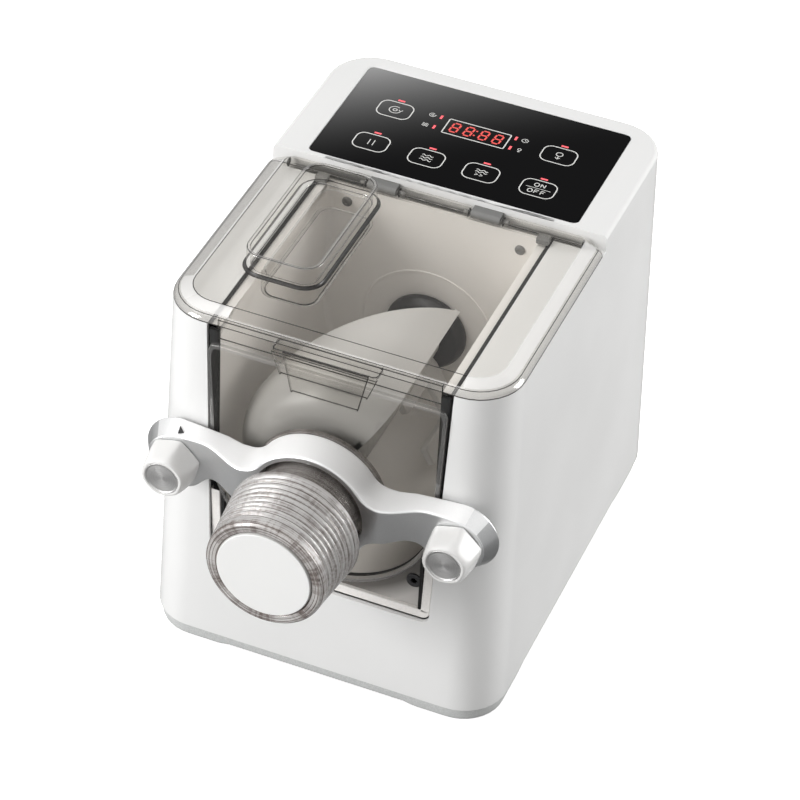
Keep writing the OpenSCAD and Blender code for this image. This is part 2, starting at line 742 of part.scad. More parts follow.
// White paddle: sleeve, rounded shell cut on the slant, web at its straight edge, scraper blade
module paddle() color("white") {
    sleeve_r = 13;
    back = tub_back_y - 9;
    difference() {
        union() {
            rod_y(0, axis_z, sleeve_r, paddle_front, back);
            difference() {
                wing_sector(0, 200);
                difference() {
                    wing_sector(3.2, 202);
                    rotate_web(57);
                }
                slant_block();
            }
            scraper(-60, sleeve_r);
        }
        rod_y(0, axis_z, drive_r, -far, far);
    }
}

// Flat radial blade that reaches the chamber's back wall
module scraper(a, r0) {
    translate([0, 0, axis_z]) rotate([0, -a, 0]) difference() {
        box([9, tub_back_y - 62, -2.5], [wing_r - 2, tub_back_y - 10, 2.5]);
        box([r0 + 10, tub_back_y - 70, -5], [wing_r - 16, tub_back_y - 26, 5]);
    }
}

drive_r = 6;

wing_round = 24;         // rounding between the wing's barrel and its front

// Sector of a round block with a rounded front rim; angles run from +X up over the top
module wing_sector(inset, a1) {
    r = wing_r - inset;
    k = wing_round - inset;
    y0 = paddle_front + inset * 1.25;
    bore = inset > 0 ? 7 : 8;
    start = inset > 0 ? 55 : 57;
    back = inset > 0 ? -50 : -45;
    translate([0, 0, axis_z]) rotate([90, 0, 0]) rotate([0, 0, start])
        rotate_extrude(angle = a1 - start) polygon(concat([[bore, back], [bore, -y0]],
            [for (i = [0:6]) [r - k + k * sin(i * 15), -y0 - k + k * cos(i * 15)]], [[r, back]]));
}

// Radial web that joins the wing's straight edge to the sleeve
module rotate_web(a) {
    translate([0, 0, axis_z]) rotate([0, -a, 0]) box([5, -far, -4], [wing_r + 5, far, 3.2]);
}

// Everything behind the slanted plane that ends the wing
module slant_block() {
    translate([0, wing_cut_y, axis_z]) multmatrix([[1, 0, 0, 0],
        [wing_cut_x, 1, wing_cut_z, 0], [0, 0, 1, 0]]) box([-100, 0, -100], [100, 300, 100]);
}

// Kneading screw in the barrel
module auger() color("white") {
    core_r = 12;
    back = paddle_front - 1;
    front = barrel_end_y + 3;
    turns = 2.6;
    difference() {
        union() {
            rod_y(0, axis_z, core_r, front, paddle_front);
            translate([0, back, axis_z]) rotate([90, 0, 0])
                linear_extrude(back - front, twist = 360 * turns, slices = 60, $fn = 24)
                    intersection() {
                        circle(auger_r);
                        translate([0, -5]) polygon([[0, 0], [auger_r + 4, -6], [auger_r + 4, 16], [0, 10]]);
                    }
        }
        rod_y(0, axis_z, drive_r, front + 12, far);
    }
}

// Charcoal hub that turns in front of the chamber's back wall
module drive_hub() color("dimgray") difference() {
    union() {
        cone_y(0, axis_z, hub_r - 3, hub_r, tub_back_y - 9, tub_back_y - 4);
        rod_y(0, axis_z, hub_r, tub_back_y - 4, tub_back_y - 0.6);
        rod_y(0, axis_z, 14, tub_back_y - 1, case_front - 1);
    }
    rod_y(0, axis_z, drive_r, -far, far);
}

// Steel shaft: square-shouldered core through hub, bearings and output gear
module drive_shaft() color("lightsteelblue") {
    rod_y(0, axis_z, drive_r, barrel_end_y + 15.2, case_front - 1);
    rod_y(0, axis_z, shaft_r, case_front - 1, case_rear + case_plate - 0.5);
}

// Lip seal round the hub's neck
module shaft_seal() color("black") difference() {
    rod_y(0, axis_z, seal_r, tub_back_y + 0.6, case_front);
    rod_y(0, axis_z, 14 + gap, 0, far);
}

module bearing(y) color("silver") difference() {
    rod_y(0, axis_z, bearing_r, y, y + bearing_w);
    rod_y(0, axis_z, shaft_r + run, y - 1, y + bearing_w + 1);
    difference() {
        rod_y(0, axis_z, bearing_r - 2.4, y - 1, y + 0.8);
        rod_y(0, axis_z, shaft_r + 2.4, y - 2, y + 2);
    }
}

module front_bearing() bearing(case_front);
module rear_bearing() bearing(case_rear + case_plate - bearing_w);

// Large output gear
module out_gear() color("khaki") difference() {
    union() {
        along_y(slow_y, slow_y + slow_w) translate(axis_pt) rotate(out_turn)
            gear_2d(slow_module, out_teeth);
        rod_y(0, axis_z, 12, slow_y, case_rear + case_plate - bearing_w - 0.6);
    }
    rod_y(0, axis_z, shaft_r, -far, far);
    for (a = [0:60:300]) translate([24 * cos(a), 0, 24 * sin(a)])
        rod_y(0, axis_z, 6, 0, far);
}

mesh_angle = -126.87;    // direction from the output axis to the intermediate axis
fast_angle = -53.13;     // direction from the intermediate axis to the motor axis
out_turn = mesh_angle;
mid_turn = mesh_angle + 180 + 180 / mid_small_teeth;
pinion_turn = fast_angle + 180 + 180 / pinion_teeth;

// Compound gear: small and large wheel in one piece
module mid_gear() color("khaki") difference() {
    union() {
        along_y(slow_y - 1, fast_y) translate([mid_x, mid_z]) rotate(mid_turn)
            gear_2d(slow_module, mid_small_teeth);
        along_y(fast_y, fast_y + fast_w) translate([mid_x, mid_z]) rotate(fast_angle)
            gear_2d(fast_module, mid_large_teeth);
    }
    rod_y(mid_x, mid_z, axle_r + run, -far, far);
}

// Fixed axle of the compound gear
module mid_axle() color("silver")
    rod_y(mid_x, mid_z, axle_r, case_front, case_rear + case_plate);

// Inside outline of the gear case
module case_shape(grow) {
    hull() {
        translate(axis_pt) circle(slow_module * out_teeth / 2 + 4 + grow, $fn = 48);
        translate([mid_x, mid_z]) circle(fast_module * mid_large_teeth / 2 + 4 + grow, $fn = 48);
        translate([motor_x, motor_z]) circle(18 + grow, $fn = 48);
    }
}

// Gear case with its rear plate, bearing seat and legs
module gear_case() color("silver") difference() {
    union() {
        along_y(case_front + case_plate, case_rear + case_plate) case_shape(3);
        box([motor_x - 26, case_rear, floor_z + floor_t], [motor_x + 26, case_rear + case_plate, motor_z]);
        box([motor_x - 26, case_rear - 14, floor_z + floor_t], [motor_x + 26,
            case_rear + case_plate, floor_z + floor_t + 4]);
    }
    difference() {
        along_y(case_front, case_rear) case_shape(0);
        rod_y(0, axis_z, bearing_r + 3, case_rear - 5, far);
    }
    rod_y(0, axis_z, bearing_r, case_rear + case_plate - bearing_w, far);
    rod_y(mid_x, mid_z, axle_r, 0, far);
    rod_y(motor_x, motor_z, 12, 0, far);
}

// Front plate of the gear case, with the front bearing's seat
module gear_cover() color("lightgray") difference() {
    union() {
        along_y(case_front, case_front + case_plate) case_shape(3);
        rod_y(0, axis_z, bearing_r + 3, case_front, case_front + bearing_w - 4);
    }
    rod_y(0, axis_z, bearing_r, -far, far);
    rod_y(mid_x, mid_z, axle_r, 0, far);
}

// Motor casing with vents and end bearings
module motor_can() color("slategray") difference() {
    rod_y(motor_x, motor_z, motor_r, motor_front, motor_rear);
    rod_y(motor_x, motor_z, motor_r - 1.5, motor_front + 2, motor_rear - 2);
    rod_y(motor_x, motor_z, rotor_r + run, 0, far);
    for (a = [0:45:315]) translate([24 * cos(a), 0, 24 * sin(a)])
        rod_y(motor_x, motor_z, 4.5, motor_front + 10, far);
}

// Laminated stator inside the can
module stator() color("peru") difference() {
    rod_y(motor_x, motor_z, motor_r - 1.5, motor_front + 10, motor_front + 42);
    rod_y(motor_x, motor_z, 23, 0, far);
}

// Rotor: core, shaft and pinion in one turning piece
module rotor() color("lightsteelblue") {
    rod_y(motor_x, motor_z, rotor_r, case_front + case_plate + 4, motor_rear + 4);
    rod_y(motor_x, motor_z, 22.4, motor_front + 12, motor_front + 40);
    along_y(fast_y - 0.5, fast_y + fast_w + 1) translate([motor_x, motor_z]) rotate(pinion_turn)
        gear_2d(fast_module, pinion_teeth);
}

// Cooling fan on the rotor's shaft
module fan() color("ivory") difference() {
    union() {
        rod_y(motor_x, motor_z, 9, motor_front + 46, motor_front + 58);
        for (a = [0:45:315]) translate([motor_x, 0, motor_z]) rotate([0, a, 0])
            box([-1, motor_front + 46, 8], [1, motor_front + 58, 30]);
        rod_y(motor_x, motor_z, 30, motor_front + 46, motor_front + 47.5);
    }
    rod_y(motor_x, motor_z, rotor_r, 0, far);
}

// Cradle between the floor and the motor
module motor_cradle() color("dimgray") difference() {
    union() for (y = [motor_front + 6, motor_rear - 16])
        box([motor_x - 26, y, floor_z + floor_t], [motor_x + 26, y + 10, motor_z - 14]);
    rod_y(motor_x, motor_z, motor_r, 0, far);
}

// ---------- controls and power ----------

// Black glass with round corners
module control_glass() color("black") translate([0, 0, glass_top - glass_t]) linear_extrude(glass_t)
    polygon(plate_pts(-glass_w / 2, glass_w / 2, glass_y, glass_y + glass_d, 4));

// Four-digit display between board and glass
module display() color("darkred") box([-21, glass_y + 52, board_z + board_t],
    [21, glass_y + 70, glass_top - glass_t]);

// Board with six touch pads, held by the deck's posts
module panel_board() color("darkgreen") {
    box([-78, glass_y + 12, board_z], [78, glass_y + glass_d - 12, board_z + board_t]);
    for (p = key_places) translate([p[0], glass_y + p[1], board_z + board_t])
        cylinder(r = 5, h = glass_top - glass_t - board_z - board_t);
}

key_places = [[-56, 62.5], [-56, 24.3], [-19, 24], [17.5, 24], [54.5, 24], [54.5, 62.5]];

power_x = foot_w / 2 - 48.5;
// Power board on its posts
module power_board() color("darkgreen") {
    box([power_x - 28, 36, 20], [power_x + 28, 126, 20 + board_t]);
    for (x = [-23, 23], y = [42, 120]) translate([power_x + x, y, floor_z + floor_t])
        cylinder(r = 3, h = 20 - floor_z - floor_t);
}

// Transformer, capacitors, relay and heat sink on the power board
module power_parts() color("goldenrod") {
    z = 20 + board_t;
    box([power_x - 22, 44, z], [power_x + 8, 70, z + 26]);
    for (i = [0:1]) translate([power_x + 17, 50 + i * 16, z]) cylinder(r = 6, h = 24);
    box([power_x - 22, 78, z], [power_x - 2, 94, z + 16]);
    for (i = [0:4]) box([power_x + 2 + i * 5, 84, z], [power_x + 4 + i * 5, 116, z + 22]);
    box([power_x + 2, 84, z], [power_x + 24, 116, z + 3]);
}

inlet_x = power_x;
inlet_z = 34;
inlet_w = 27;
inlet_h = 20;
inlet_y = half_d(inlet_z) - 20;

// Two-pin appliance inlet in the rear wall
module inlet() color("black") {
    difference() {
        union() {
            along_y(inlet_y, half_d(inlet_z) + 0.5) translate([inlet_x, inlet_z])
                square([inlet_w, inlet_h], center = true);
            along_y(inlet_y + 14, half_d(inlet_z) - wall - 0.3) translate([inlet_x, inlet_z])
                square([inlet_w + 8, inlet_h + 5], center = true);
        }
        along_y(inlet_y + 4, far) translate([inlet_x, inlet_z]) {
            for (s = [-1, 1]) translate([s * 5, 0]) circle(5.4);
            square([10, 10.8], center = true);
        }
    }
    for (s = [-1, 1]) rod_y(inlet_x + s * 4.3, inlet_z, 1.2, inlet_y + 3.9, half_d(inlet_z) - 3);
}

translate([0, -origin_y, 0]) {
    housing();
    deck();
    base();
    pads();
    tub();
    chamber_seal();
    front_cover();
    recess_trim();
    bumpers();
    wall_screws();
    barrel();
    clamp_bar();
    studs();
    stud_brackets();
    knob_left();
    knob_right();
    knob_disc_left();
    knob_disc_right();
    ring_nut();
    end_disc();
    lid();
    hinge_blocks();
    hinge_pins();
    paddle();
    auger();
    drive_hub();
    drive_shaft();
    shaft_seal();
    front_bearing();
    rear_bearing();
    out_gear();
    mid_gear();
    mid_axle();
    gear_case();
    gear_cover();
    motor_can();
    stator();
    rotor();
    fan();
    motor_cradle();
    control_glass();
    display();
    panel_board();
    power_board();
    power_parts();
    inlet();
    reed_switch();
    base_screws();
}
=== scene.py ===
# %% [markdown]
# # Dressing an electric pasta maker
# The machine is a white, gloss moulded casing with a clear lid over a mixing chamber. In front, a satin cast
# bar with two hand knobs clamps a clear barrel and ring nut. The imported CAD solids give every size. Each cell
# below makes one visible piece or one finish round them, as a surface worked out with numpy.

import bmesh
import bpy
import numpy as np
from mathutils import Matrix, Vector


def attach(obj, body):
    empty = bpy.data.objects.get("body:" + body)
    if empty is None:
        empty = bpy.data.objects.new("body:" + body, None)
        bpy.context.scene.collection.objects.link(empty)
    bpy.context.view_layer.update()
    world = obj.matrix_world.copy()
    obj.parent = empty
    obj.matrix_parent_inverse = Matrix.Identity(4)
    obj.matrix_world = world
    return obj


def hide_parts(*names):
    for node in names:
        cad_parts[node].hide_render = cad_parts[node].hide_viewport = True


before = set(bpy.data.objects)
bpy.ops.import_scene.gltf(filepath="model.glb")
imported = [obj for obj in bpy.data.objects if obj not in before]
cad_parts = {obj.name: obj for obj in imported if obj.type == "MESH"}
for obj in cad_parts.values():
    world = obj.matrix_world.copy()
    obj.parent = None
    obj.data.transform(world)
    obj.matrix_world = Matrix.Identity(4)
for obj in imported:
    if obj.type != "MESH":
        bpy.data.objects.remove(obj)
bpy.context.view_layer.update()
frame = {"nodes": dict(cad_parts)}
nodes = frame["nodes"]
ORIGIN_Y = 41.25               # the frame's origin lies this far in front of the casing's centre, in mm
AXIS_Z = 156.0                 # height of the drive's axis, which is also the barrel's and the nut's
STUD_X, STUD_Z = 90.0, 153.6   # the two studs that carry the bar and its knobs

# %% [markdown]
# ## Camera
# A long lens from the upper right front: the view is nearly without perspective, so the far edges of the
# casing stay almost parallel. The camera stands 2.1 m away, turned 20.5 degrees round the machine, 39.9
# degrees up and rolled by 3 degrees. An orthonormal frame (right, up, back) gives its rotation matrix. All
# sizes in this lesson are millimetres about the centre of the casing's footprint; ORIGIN_Y shifts them.

# %% Camera
AZIMUTH, ELEVATION, ROLL = np.radians([20.512, 39.902, 3.071])
LENS, SENSOR = 151.64, 36.0
TARGET = np.array([-0.03, -22.23 + ORIGIN_Y, 129.04])
DISTANCE = 2096.95
FAR_CLIP = 20.0   # metres


def camera_axes(azimuth, elevation, roll):
    """Back points from the target to the lens; right is level; both then turn about back by the roll."""
    back = np.array([np.sin(azimuth) * np.cos(elevation), -np.cos(azimuth) * np.cos(elevation),
                     np.sin(elevation)])
    right = np.array([np.cos(azimuth), np.sin(azimuth), 0.0])
    up = np.cross(back, right)
    return (right * np.cos(roll) + up * np.sin(roll), up * np.cos(roll) - right * np.sin(roll), back)


camera = bpy.data.objects.new("camera", bpy.data.cameras.new("camera"))
bpy.context.scene.collection.objects.link(camera)
right_axis, up_axis, back_axis = camera_axes(AZIMUTH, ELEVATION, ROLL)
place = Matrix.Identity(4)
for column, axis in enumerate((right_axis, up_axis, back_axis, (TARGET + back_axis * DISTANCE) / 1000)):
    for row in range(3):
        place[row][column] = axis[row]
camera.matrix_world = place
camera.data.sensor_width = SENSOR
camera.data.lens = LENS
camera.data.clip_end = FAR_CLIP
bpy.context.scene.camera = camera
print("camera at, mm:", np.round(TARGET + back_axis * DISTANCE, 1))

# %% [markdown]
# ## Floor, backdrop and light
# The machine stands on a pale, plain floor. Soft light comes from a broad panel at the left front, a second
# one at the right rear, a weak one overhead and the white room itself, so that each colour renders about as it
# is written. To the lens the floor and the room are plain white, and the floor keeps the machine's shadow.

# %% Light helpers
SCENE = bpy.context.scene
SCENE.view_settings.view_transform = "Standard"


def panel_lamp(name, spot, aim, size, power):
    """A rectangular lamp at spot that faces aim, both in metres; size is width and height."""
    data = bpy.data.lights.new(name, "AREA")
    data.shape, data.size, data.size_y, data.energy = "RECTANGLE", size[0], size[1], power
    lamp = bpy.data.objects.new(name, data)
    SCENE.collection.objects.link(lamp)
    lamp.location = spot
    lamp.rotation_euler = (Vector(spot) - Vector(aim)).to_track_quat("Z", "Y").to_euler()
    return lamp


panel_lamp("top_panel", (-0.8, -0.2, 1.9), (0, 0, 0.1), (1.2, 1.2), 7.5)
panel_lamp("front_panel", (-1.6, -1.75, 1.0), (0, -0.05, 0.15), (0.9, 1.4), 42.0)
panel_lamp("right_panel", (1.9, 1.0, 0.7), (0, 0, 0.15), (0.9, 1.3), 33.0)

# %% [markdown]
# ## Shader maths as Python sums
# A material is a network of small nodes. One class wraps a socket so that `1 - mask * 0.5` adds the Math
# nodes it needs, and one class holds a material and adds any other node by its type, settings and inputs.

# %% Sockets and finishes
class Value:
    """A number socket of one finish that can be used in sums."""

    def __init__(self, finish, socket):
        self.finish, self.socket = finish, socket

    def math(self, operation, *others, flipped=False):
        values = [self, *others][::-1] if flipped else [self, *others]
        return self.finish.add("ShaderNodeMath", {"operation": operation}, dict(enumerate(values)))

    def __add__(self, other):
        return self.math("ADD", other)

    def __radd__(self, other):
        return self.math("ADD", other)

    def __sub__(self, other):
        return self.math("SUBTRACT", other)

    def __rsub__(self, other):
        return self.math("SUBTRACT", other, flipped=True)

    def __mul__(self, other):
        return self.math("MULTIPLY", other)

    def __rmul__(self, other):
        return self.math("MULTIPLY", other)

    def __pow__(self, other):
        return self.math("POWER", other)

    def __abs__(self):
        return self.math("ABSOLUTE")

    def below(self, limit, soft):
        """1 where the value is under limit, 0 above it, with a ramp of width soft between."""
        return self.finish.add("ShaderNodeMapRange", {"clamp": True, "interpolation_type": "SMOOTHSTEP"},
                               {0: self, 1: limit - soft / 2, 2: limit + soft / 2, 3: 1.0, 4: 0.0})

    def spread(self, low, high, to_low=0.0, to_high=1.0):
        """Maps low..high to to_low..to_high and holds the ends."""
        return self.finish.add("ShaderNodeMapRange", {"clamp": True},
                               {0: self, 1: low, 2: high, 3: to_low, 4: to_high})


class Finish:
    """One material: a Principled shader and the nodes added round it."""

    def __init__(self, name, colour, roughness, metallic=0.0, **constants):
        self.material = bpy.data.materials.new(name)
        self.material.use_nodes = True
        self.tree = self.material.node_tree
        self.shader = self.tree.nodes["Principled BSDF"]
        self.output = self.tree.nodes["Material Output"]
        self.set({"Base Color": (*colour, 1.0), "Roughness": roughness, "Metallic": metallic})
        self.set({key.replace("_", " ").title().replace("Ior", "IOR"): v for key, v in constants.items()})
        self.material.diffuse_color = (*colour, 1.0)

    def link(self, socket, value):
        """Links a Value to a socket, or writes a plain number, colour or vector into it."""
        if isinstance(value, Value):
            self.tree.links.new(value.socket, socket)
        elif hasattr(socket.default_value, "__len__") and not isinstance(value, (int, float)):
            socket.default_value = tuple(value) + (1.0,) * (len(socket.default_value) - len(tuple(value)))
        else:
            socket.default_value = value

    def add(self, kind, settings=None, inputs=None, out=0):
        """Adds a node: its settings first, then the values or links of its sockets; gives one output."""
        node = self.tree.nodes.new(kind)
        for key, value in (settings or {}).items():
            setattr(node, key, value)
        for key, value in (inputs or {}).items():
            self.link(node.inputs[key], value)
        return Value(self, node.outputs[out])

    def set(self, inputs):
        for key, value in inputs.items():
            self.link(self.shader.inputs[key], value)
        return self

    def spot(self):
        """The point on the object as a vector in metres, which a noise can take."""
        return self.add("ShaderNodeTexCoord", out="Object")

    def place(self):
        """The point on the object as three Values, in mm about the casing's centre."""
        split = self.tree.nodes.new("ShaderNodeSeparateXYZ")
        self.tree.links.new(self.spot().socket, split.inputs[0])
        x, y, z = (Value(self, split.outputs[k]) * 1000.0 for k in range(3))
        return x, y - ORIGIN_Y, z

    def vector(self, x, y, z):
        return self.add("ShaderNodeCombineXYZ", None, {0: x, 1: y, 2: z})

    def noise(self, vector, scale, detail=2.0, roughness=0.5):
        return self.add("ShaderNodeTexNoise", None,
                        {"Vector": vector, "Scale": scale, "Detail": detail, "Roughness": roughness})

    def mix(self, factor, a, b):
        """Colour between a and b."""
        return self.add("ShaderNodeMix", {"data_type": "RGBA"}, {0: factor, 6: a, 7: b}, 2)

    def bump(self, height, distance, strength=1.0):
        """Gives the surface the relief height, distance metres deep."""
        relief = self.add("ShaderNodeBump", None,
                          {"Strength": strength, "Distance": distance, "Height": height})
        return self.set({"Normal": relief})

    def shade(self):
        """The Principled shader's output."""
        return Value(self, self.shader.outputs[0])

    def show(self, factor, a, b):
        """Makes the surface a mix of the shaders a and b."""
        mixed = self.add("ShaderNodeMixShader", None, {0: factor, 1: a, 2: b})
        self.tree.links.new(mixed.socket, self.output.inputs["Surface"])


def toned(colour, share):
    """The colour with each of its parts times share, 1 at most."""
    return tuple(min(1, part * share) for part in colour)


print("shader classes ready")

# %% [markdown]
# ## Room and floor
# The world lights the machine with an even white that is weaker at the right front. Mirror rays see a white
# backdrop under a dimmer ceiling, which gives the gloss casing its soft grey reflections. The floor is white
# to the lens, and in mirror and bounce rays it is a darker grey, so that the casing's low parts shade off.

# %% Room
AMBIENT = 0.5      # strength of the even light
CEILING = 0.25     # what the ceiling mirrors, as a share of the backdrop
LOBE = 0.25        # what comes from the right front, as a share of the rest


def make_room():
    """World shader. To lens and clear rays it is plain white. Mirror rays see a white backdrop that ends 45
    degrees up behind the machine, under a dimmer ceiling, and a dark lobe toward the right front. Bounce
    light comes evenly from all sides, again less from the right front."""
    world = bpy.data.worlds.new("room")
    SCENE.world = world
    world.use_nodes = True
    tree = world.node_tree
    tree.nodes.clear()

    def node(kind, settings, inputs, out=0):
        item = tree.nodes.new(kind)
        for key, value in settings.items():
            setattr(item, key, value)
        for key, value in inputs.items():
            if hasattr(value, "is_linked"):
                tree.links.new(value, item.inputs[key])
            else:
                item.inputs[key].default_value = value
        return item.outputs[out]

    def maths(operation, *values):
        return node("ShaderNodeMath", {"operation": operation}, dict(enumerate(values)))

    def ramp(value, low, high, to_low, to_high):
        return node("ShaderNodeMapRange", {"clamp": True, "interpolation_type": "SMOOTHSTEP"},
                    {0: value, 1: low, 2: high, 3: to_low, 4: to_high})

    direction = tree.nodes.new("ShaderNodeTexCoord").outputs["Generated"]
    split = tree.nodes.new("ShaderNodeSeparateXYZ")
    tree.links.new(direction, split.inputs[0])
    dx, dy, dz = (split.outputs[k] for k in range(3))
    ceiling = ramp(dz, 0.68, 0.80, 1.0, CEILING)
    behind = ramp(dy, 0.05, 0.4, 0.0, 1.0)
    vault = maths("ADD", maths("MULTIPLY", behind, ceiling), maths("SUBTRACT", 1.0, behind))
    toward = maths("ADD", maths("MULTIPLY", dx, 0.94), maths("MULTIPLY", dy, -0.34))
    dark = ramp(toward, 0.72, 0.97, 1.0, LOBE)
    paths = tree.nodes.new("ShaderNodeLightPath")
    glossy = paths.outputs["Is Glossy Ray"]
    bounced = maths("MULTIPLY", maths("SUBTRACT", 1.0, glossy), AMBIENT)
    strength = maths("MULTIPLY", maths("ADD", maths("MULTIPLY", glossy, vault), bounced), dark)
    lit = node("ShaderNodeBackground", {}, {"Color": (1.0, 0.995, 0.985, 1.0), "Strength": strength})
    seen = node("ShaderNodeBackground", {}, {"Color": (1.0, 1.0, 1.0, 1.0), "Strength": 1.0})
    shown = maths("MAXIMUM", paths.outputs["Is Camera Ray"], paths.outputs["Is Transmission Ray"])
    mixed = node("ShaderNodeMixShader", {}, {0: shown, 1: lit, 2: seen})
    out = tree.nodes.new("ShaderNodeOutputWorld")
    tree.links.new(mixed, out.inputs[0])


make_room()
print("world:", SCENE.world.name)

# %% Floor
FLOOR_HALF = 6.0                        # metres
LENS_WHITE = (0.93, 0.93, 0.93)
BOUNCE_GREY = (0.58, 0.58, 0.58)
WEDGE_GREY = (0.2, 0.2, 0.2)            # dark wedge on the right, from the casing's corner
NEAR_MIRROR = [(0.33, 0.33, 0.33), (0.19, 0.19, 0.19)]   # left and right of the machine
FAR_MIRROR = (0.9, 0.9, 0.9)
FLOOR_GLOW = 0.7


def make_floor():
    """A flat square at the height of the pads. To the lens it is white with the machine's shadow. Bounce rays
    see a mid grey with a dark wedge on the right, which draws the corner's soft dark band; mirror rays see a
    dark grey that gets darker to the right and pale far away."""
    mesh = bpy.data.meshes.new("floor")
    corners = [(a * FLOOR_HALF, b * FLOOR_HALF, 0) for a, b in ((-1, -1), (1, -1), (1, 1), (-1, 1))]
    mesh.from_pydata(corners, [], [(0, 1, 2, 3)])
    floor = bpy.data.objects.new("floor", mesh)
    SCENE.collection.objects.link(floor)
    f = Finish("floor_paint", LENS_WHITE, 0.9, specular_ior_level=0.0)
    x, y, _ = f.place()
    angle = (y + 113.0).math("ARCTAN2", x - 80.0) + np.radians(17)
    wedge = abs(angle).below(np.radians(30), np.radians(34))
    to_lens = f.add("ShaderNodeLightPath", out="Is Camera Ray")
    to_mirror = f.add("ShaderNodeLightPath", out="Is Glossy Ray")
    near = f.mix(x.spread(-170.0, 60.0), *NEAR_MIRROR)
    in_mirror = f.mix(((x * x + y * y) ** 0.5).spread(600.0, 1400.0), near, FAR_MIRROR)
    unseen = f.mix(to_mirror, f.mix(wedge, BOUNCE_GREY, WEDGE_GREY), in_mirror)
    f.set({"Base Color": f.mix(to_lens, unseen, LENS_WHITE)})
    glow = f.add("ShaderNodeEmission", None, {"Color": (1, 1, 1, 1), "Strength": FLOOR_GLOW})
    f.show(to_lens, f.shade(), f.add("ShaderNodeAddShader", None, {0: f.shade(), 1: glow}))
    mesh.materials.append(f.material)


make_floor()
print("floor half width, m:", FLOOR_HALF)

# %% [markdown]
# ## Surfaces from grids
# Every piece is a set of patches. A patch is an array of points with rows and columns, and each cell becomes
# a four-sided face. `Shape` collects the patches, welds the points that meet, turns the faces outward and
# gives the object its finish, its body and the CAD solids that it stands for.

# %% Shape
class Shape:
    """Patches of quads that become one welded object."""

    def __init__(self):
        self.points, self.faces, self.kinds, self.count = [], [], [], 0

    def patch(self, grid, keep=None, kind=0):
        """Adds rows x columns x 3 points in mm; keep is a mask of the cells that stay. kind picks the finish,
        for the whole patch, for each band between two rows, or for each cell."""
        grid = np.asarray(grid, float)
        rows, columns = grid.shape[:2]
        index = np.arange(rows * columns).reshape(rows, columns) + self.count
        quads = np.stack([index[:-1, :-1], index[:-1, 1:], index[1:, 1:], index[1:, :-1]], -1)
        kinds = np.broadcast_to(kind if np.ndim(kind) == 2 else np.reshape(kind, (-1, 1)), quads.shape[:2])
        keep = np.ones(quads.shape[:2], bool) if keep is None else keep
        self.points.append(grid.reshape(-1, 3))
        self.faces += quads[keep].tolist()
        self.kinds += kinds[keep].tolist()
        self.count += rows * columns
        return self

    def sheet(self, loop, kind=0):
        """Adds one flat face with the given outline."""
        loop = np.asarray(loop, float)
        self.kinds.append(kind)
        self.points.append(loop)
        self.faces.append(list(range(self.count, self.count + len(loop))))
        self.count += len(loop)
        return self

    def tube(self, loops, caps=True, kind=0):
        """Adds a skin through closed loops of equal length, with a flat face on each end."""
        loops = np.asarray(loops, float)
        self.patch(np.concatenate([loops, loops[:, :1]], axis=1), kind=kind)
        if caps:
            ends = np.ravel(kind)[[0, -1]] if np.ndim(kind) < 2 else (0, 0)
            self.sheet(loops[0], int(ends[0])).sheet(loops[-1], int(ends[1]))
        return self

    def mesh(self, name, weld=0.004):
        """The patches as one mesh in metres: points that meet are welded and faces turned outward."""
        points = np.concatenate(self.points)
        points[:, 1] += ORIGIN_Y
        mesh = bpy.data.meshes.new(name)
        mesh.from_pydata((points / 1000).tolist(), [], self.faces)
        mesh.polygons.foreach_set("material_index", self.kinds)
        work = bmesh.new()
        work.from_mesh(mesh)
        bmesh.ops.remove_doubles(work, verts=work.verts, dist=weld / 1000)
        bmesh.ops.dissolve_degenerate(work, edges=work.edges, dist=weld / 4000)
        bmesh.ops.recalc_face_normals(work, faces=work.faces)
        work.to_mesh(mesh)
        work.free()
        return mesh

    def less(self, cutter, weld=0.004):
        """The mesh of this shape without the cutter's volume."""
        pair = [bpy.data.objects.new("work", s.mesh("work", weld)) for s in (self, cutter)]
        for item in pair:
            SCENE.collection.objects.link(item)
            for k in range(max(self.kinds) + 1):
                item.data.materials.append(bpy.data.materials[k])
        knife = pair[0].modifiers.new("cut", "BOOLEAN")
        knife.object, knife.operation, knife.solver = pair[1], "DIFFERENCE", "EXACT"
        bpy.context.view_layer.update()
        result = bpy.data.meshes.new_from_object(pair[0].evaluated_get(bpy.context.evaluated_depsgraph_get()))
        for item in pair:
            bpy.data.objects.remove(item)
        return result

    def make(self, name, finish, body="chassis", nodes=(), slot=None, thick=0.0, round_=0.0, segments=2,
             sharp=40.0, weld=0.004, weighted=True, cutter=None, more=()):
        """Finishes the mesh and ties the object to its body and CAD solids. more holds the finishes of
        the kinds 1, 2 and on; the faces that a bevel adds take kind 2 if there is one."""
        mesh = self.less(cutter, weld) if cutter else self.mesh(name, weld)
        mesh.name = name
        mesh.polygons.foreach_set("use_smooth", [True] * len(mesh.polygons))
        if not round_:
            mesh.set_sharp_from_angle(angle=np.radians(sharp))
        kinds = [face.material_index for face in mesh.polygons]
        mesh.materials.clear()
        for item in (finish, *more):
            mesh.materials.append(item.material)
        mesh.polygons.foreach_set("material_index", kinds)
        piece = bpy.data.objects.new(name, mesh)
        SCENE.collection.objects.link(piece)
        if thick:
            wall = piece.modifiers.new("wall", "SOLIDIFY")
            wall.thickness, wall.offset, wall.use_even_offset = thick / 1000, -1.0, True
        if round_:
            edge = piece.modifiers.new("edge", "BEVEL")
            edge.width, edge.segments = round_ / 1000, segments
            edge.limit_method, edge.angle_limit = "ANGLE", np.radians(sharp)
            if more:
                edge.material = min(len(more), 2)
        if weighted:
            even = piece.modifiers.new("even", "WEIGHTED_NORMAL")
            even.keep_sharp = not round_
        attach(piece, body)
        if nodes:
            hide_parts(*nodes)
        print(f"{name}: {len(mesh.vertices)} points, {len(mesh.polygons)} faces on {body}")
        return piece


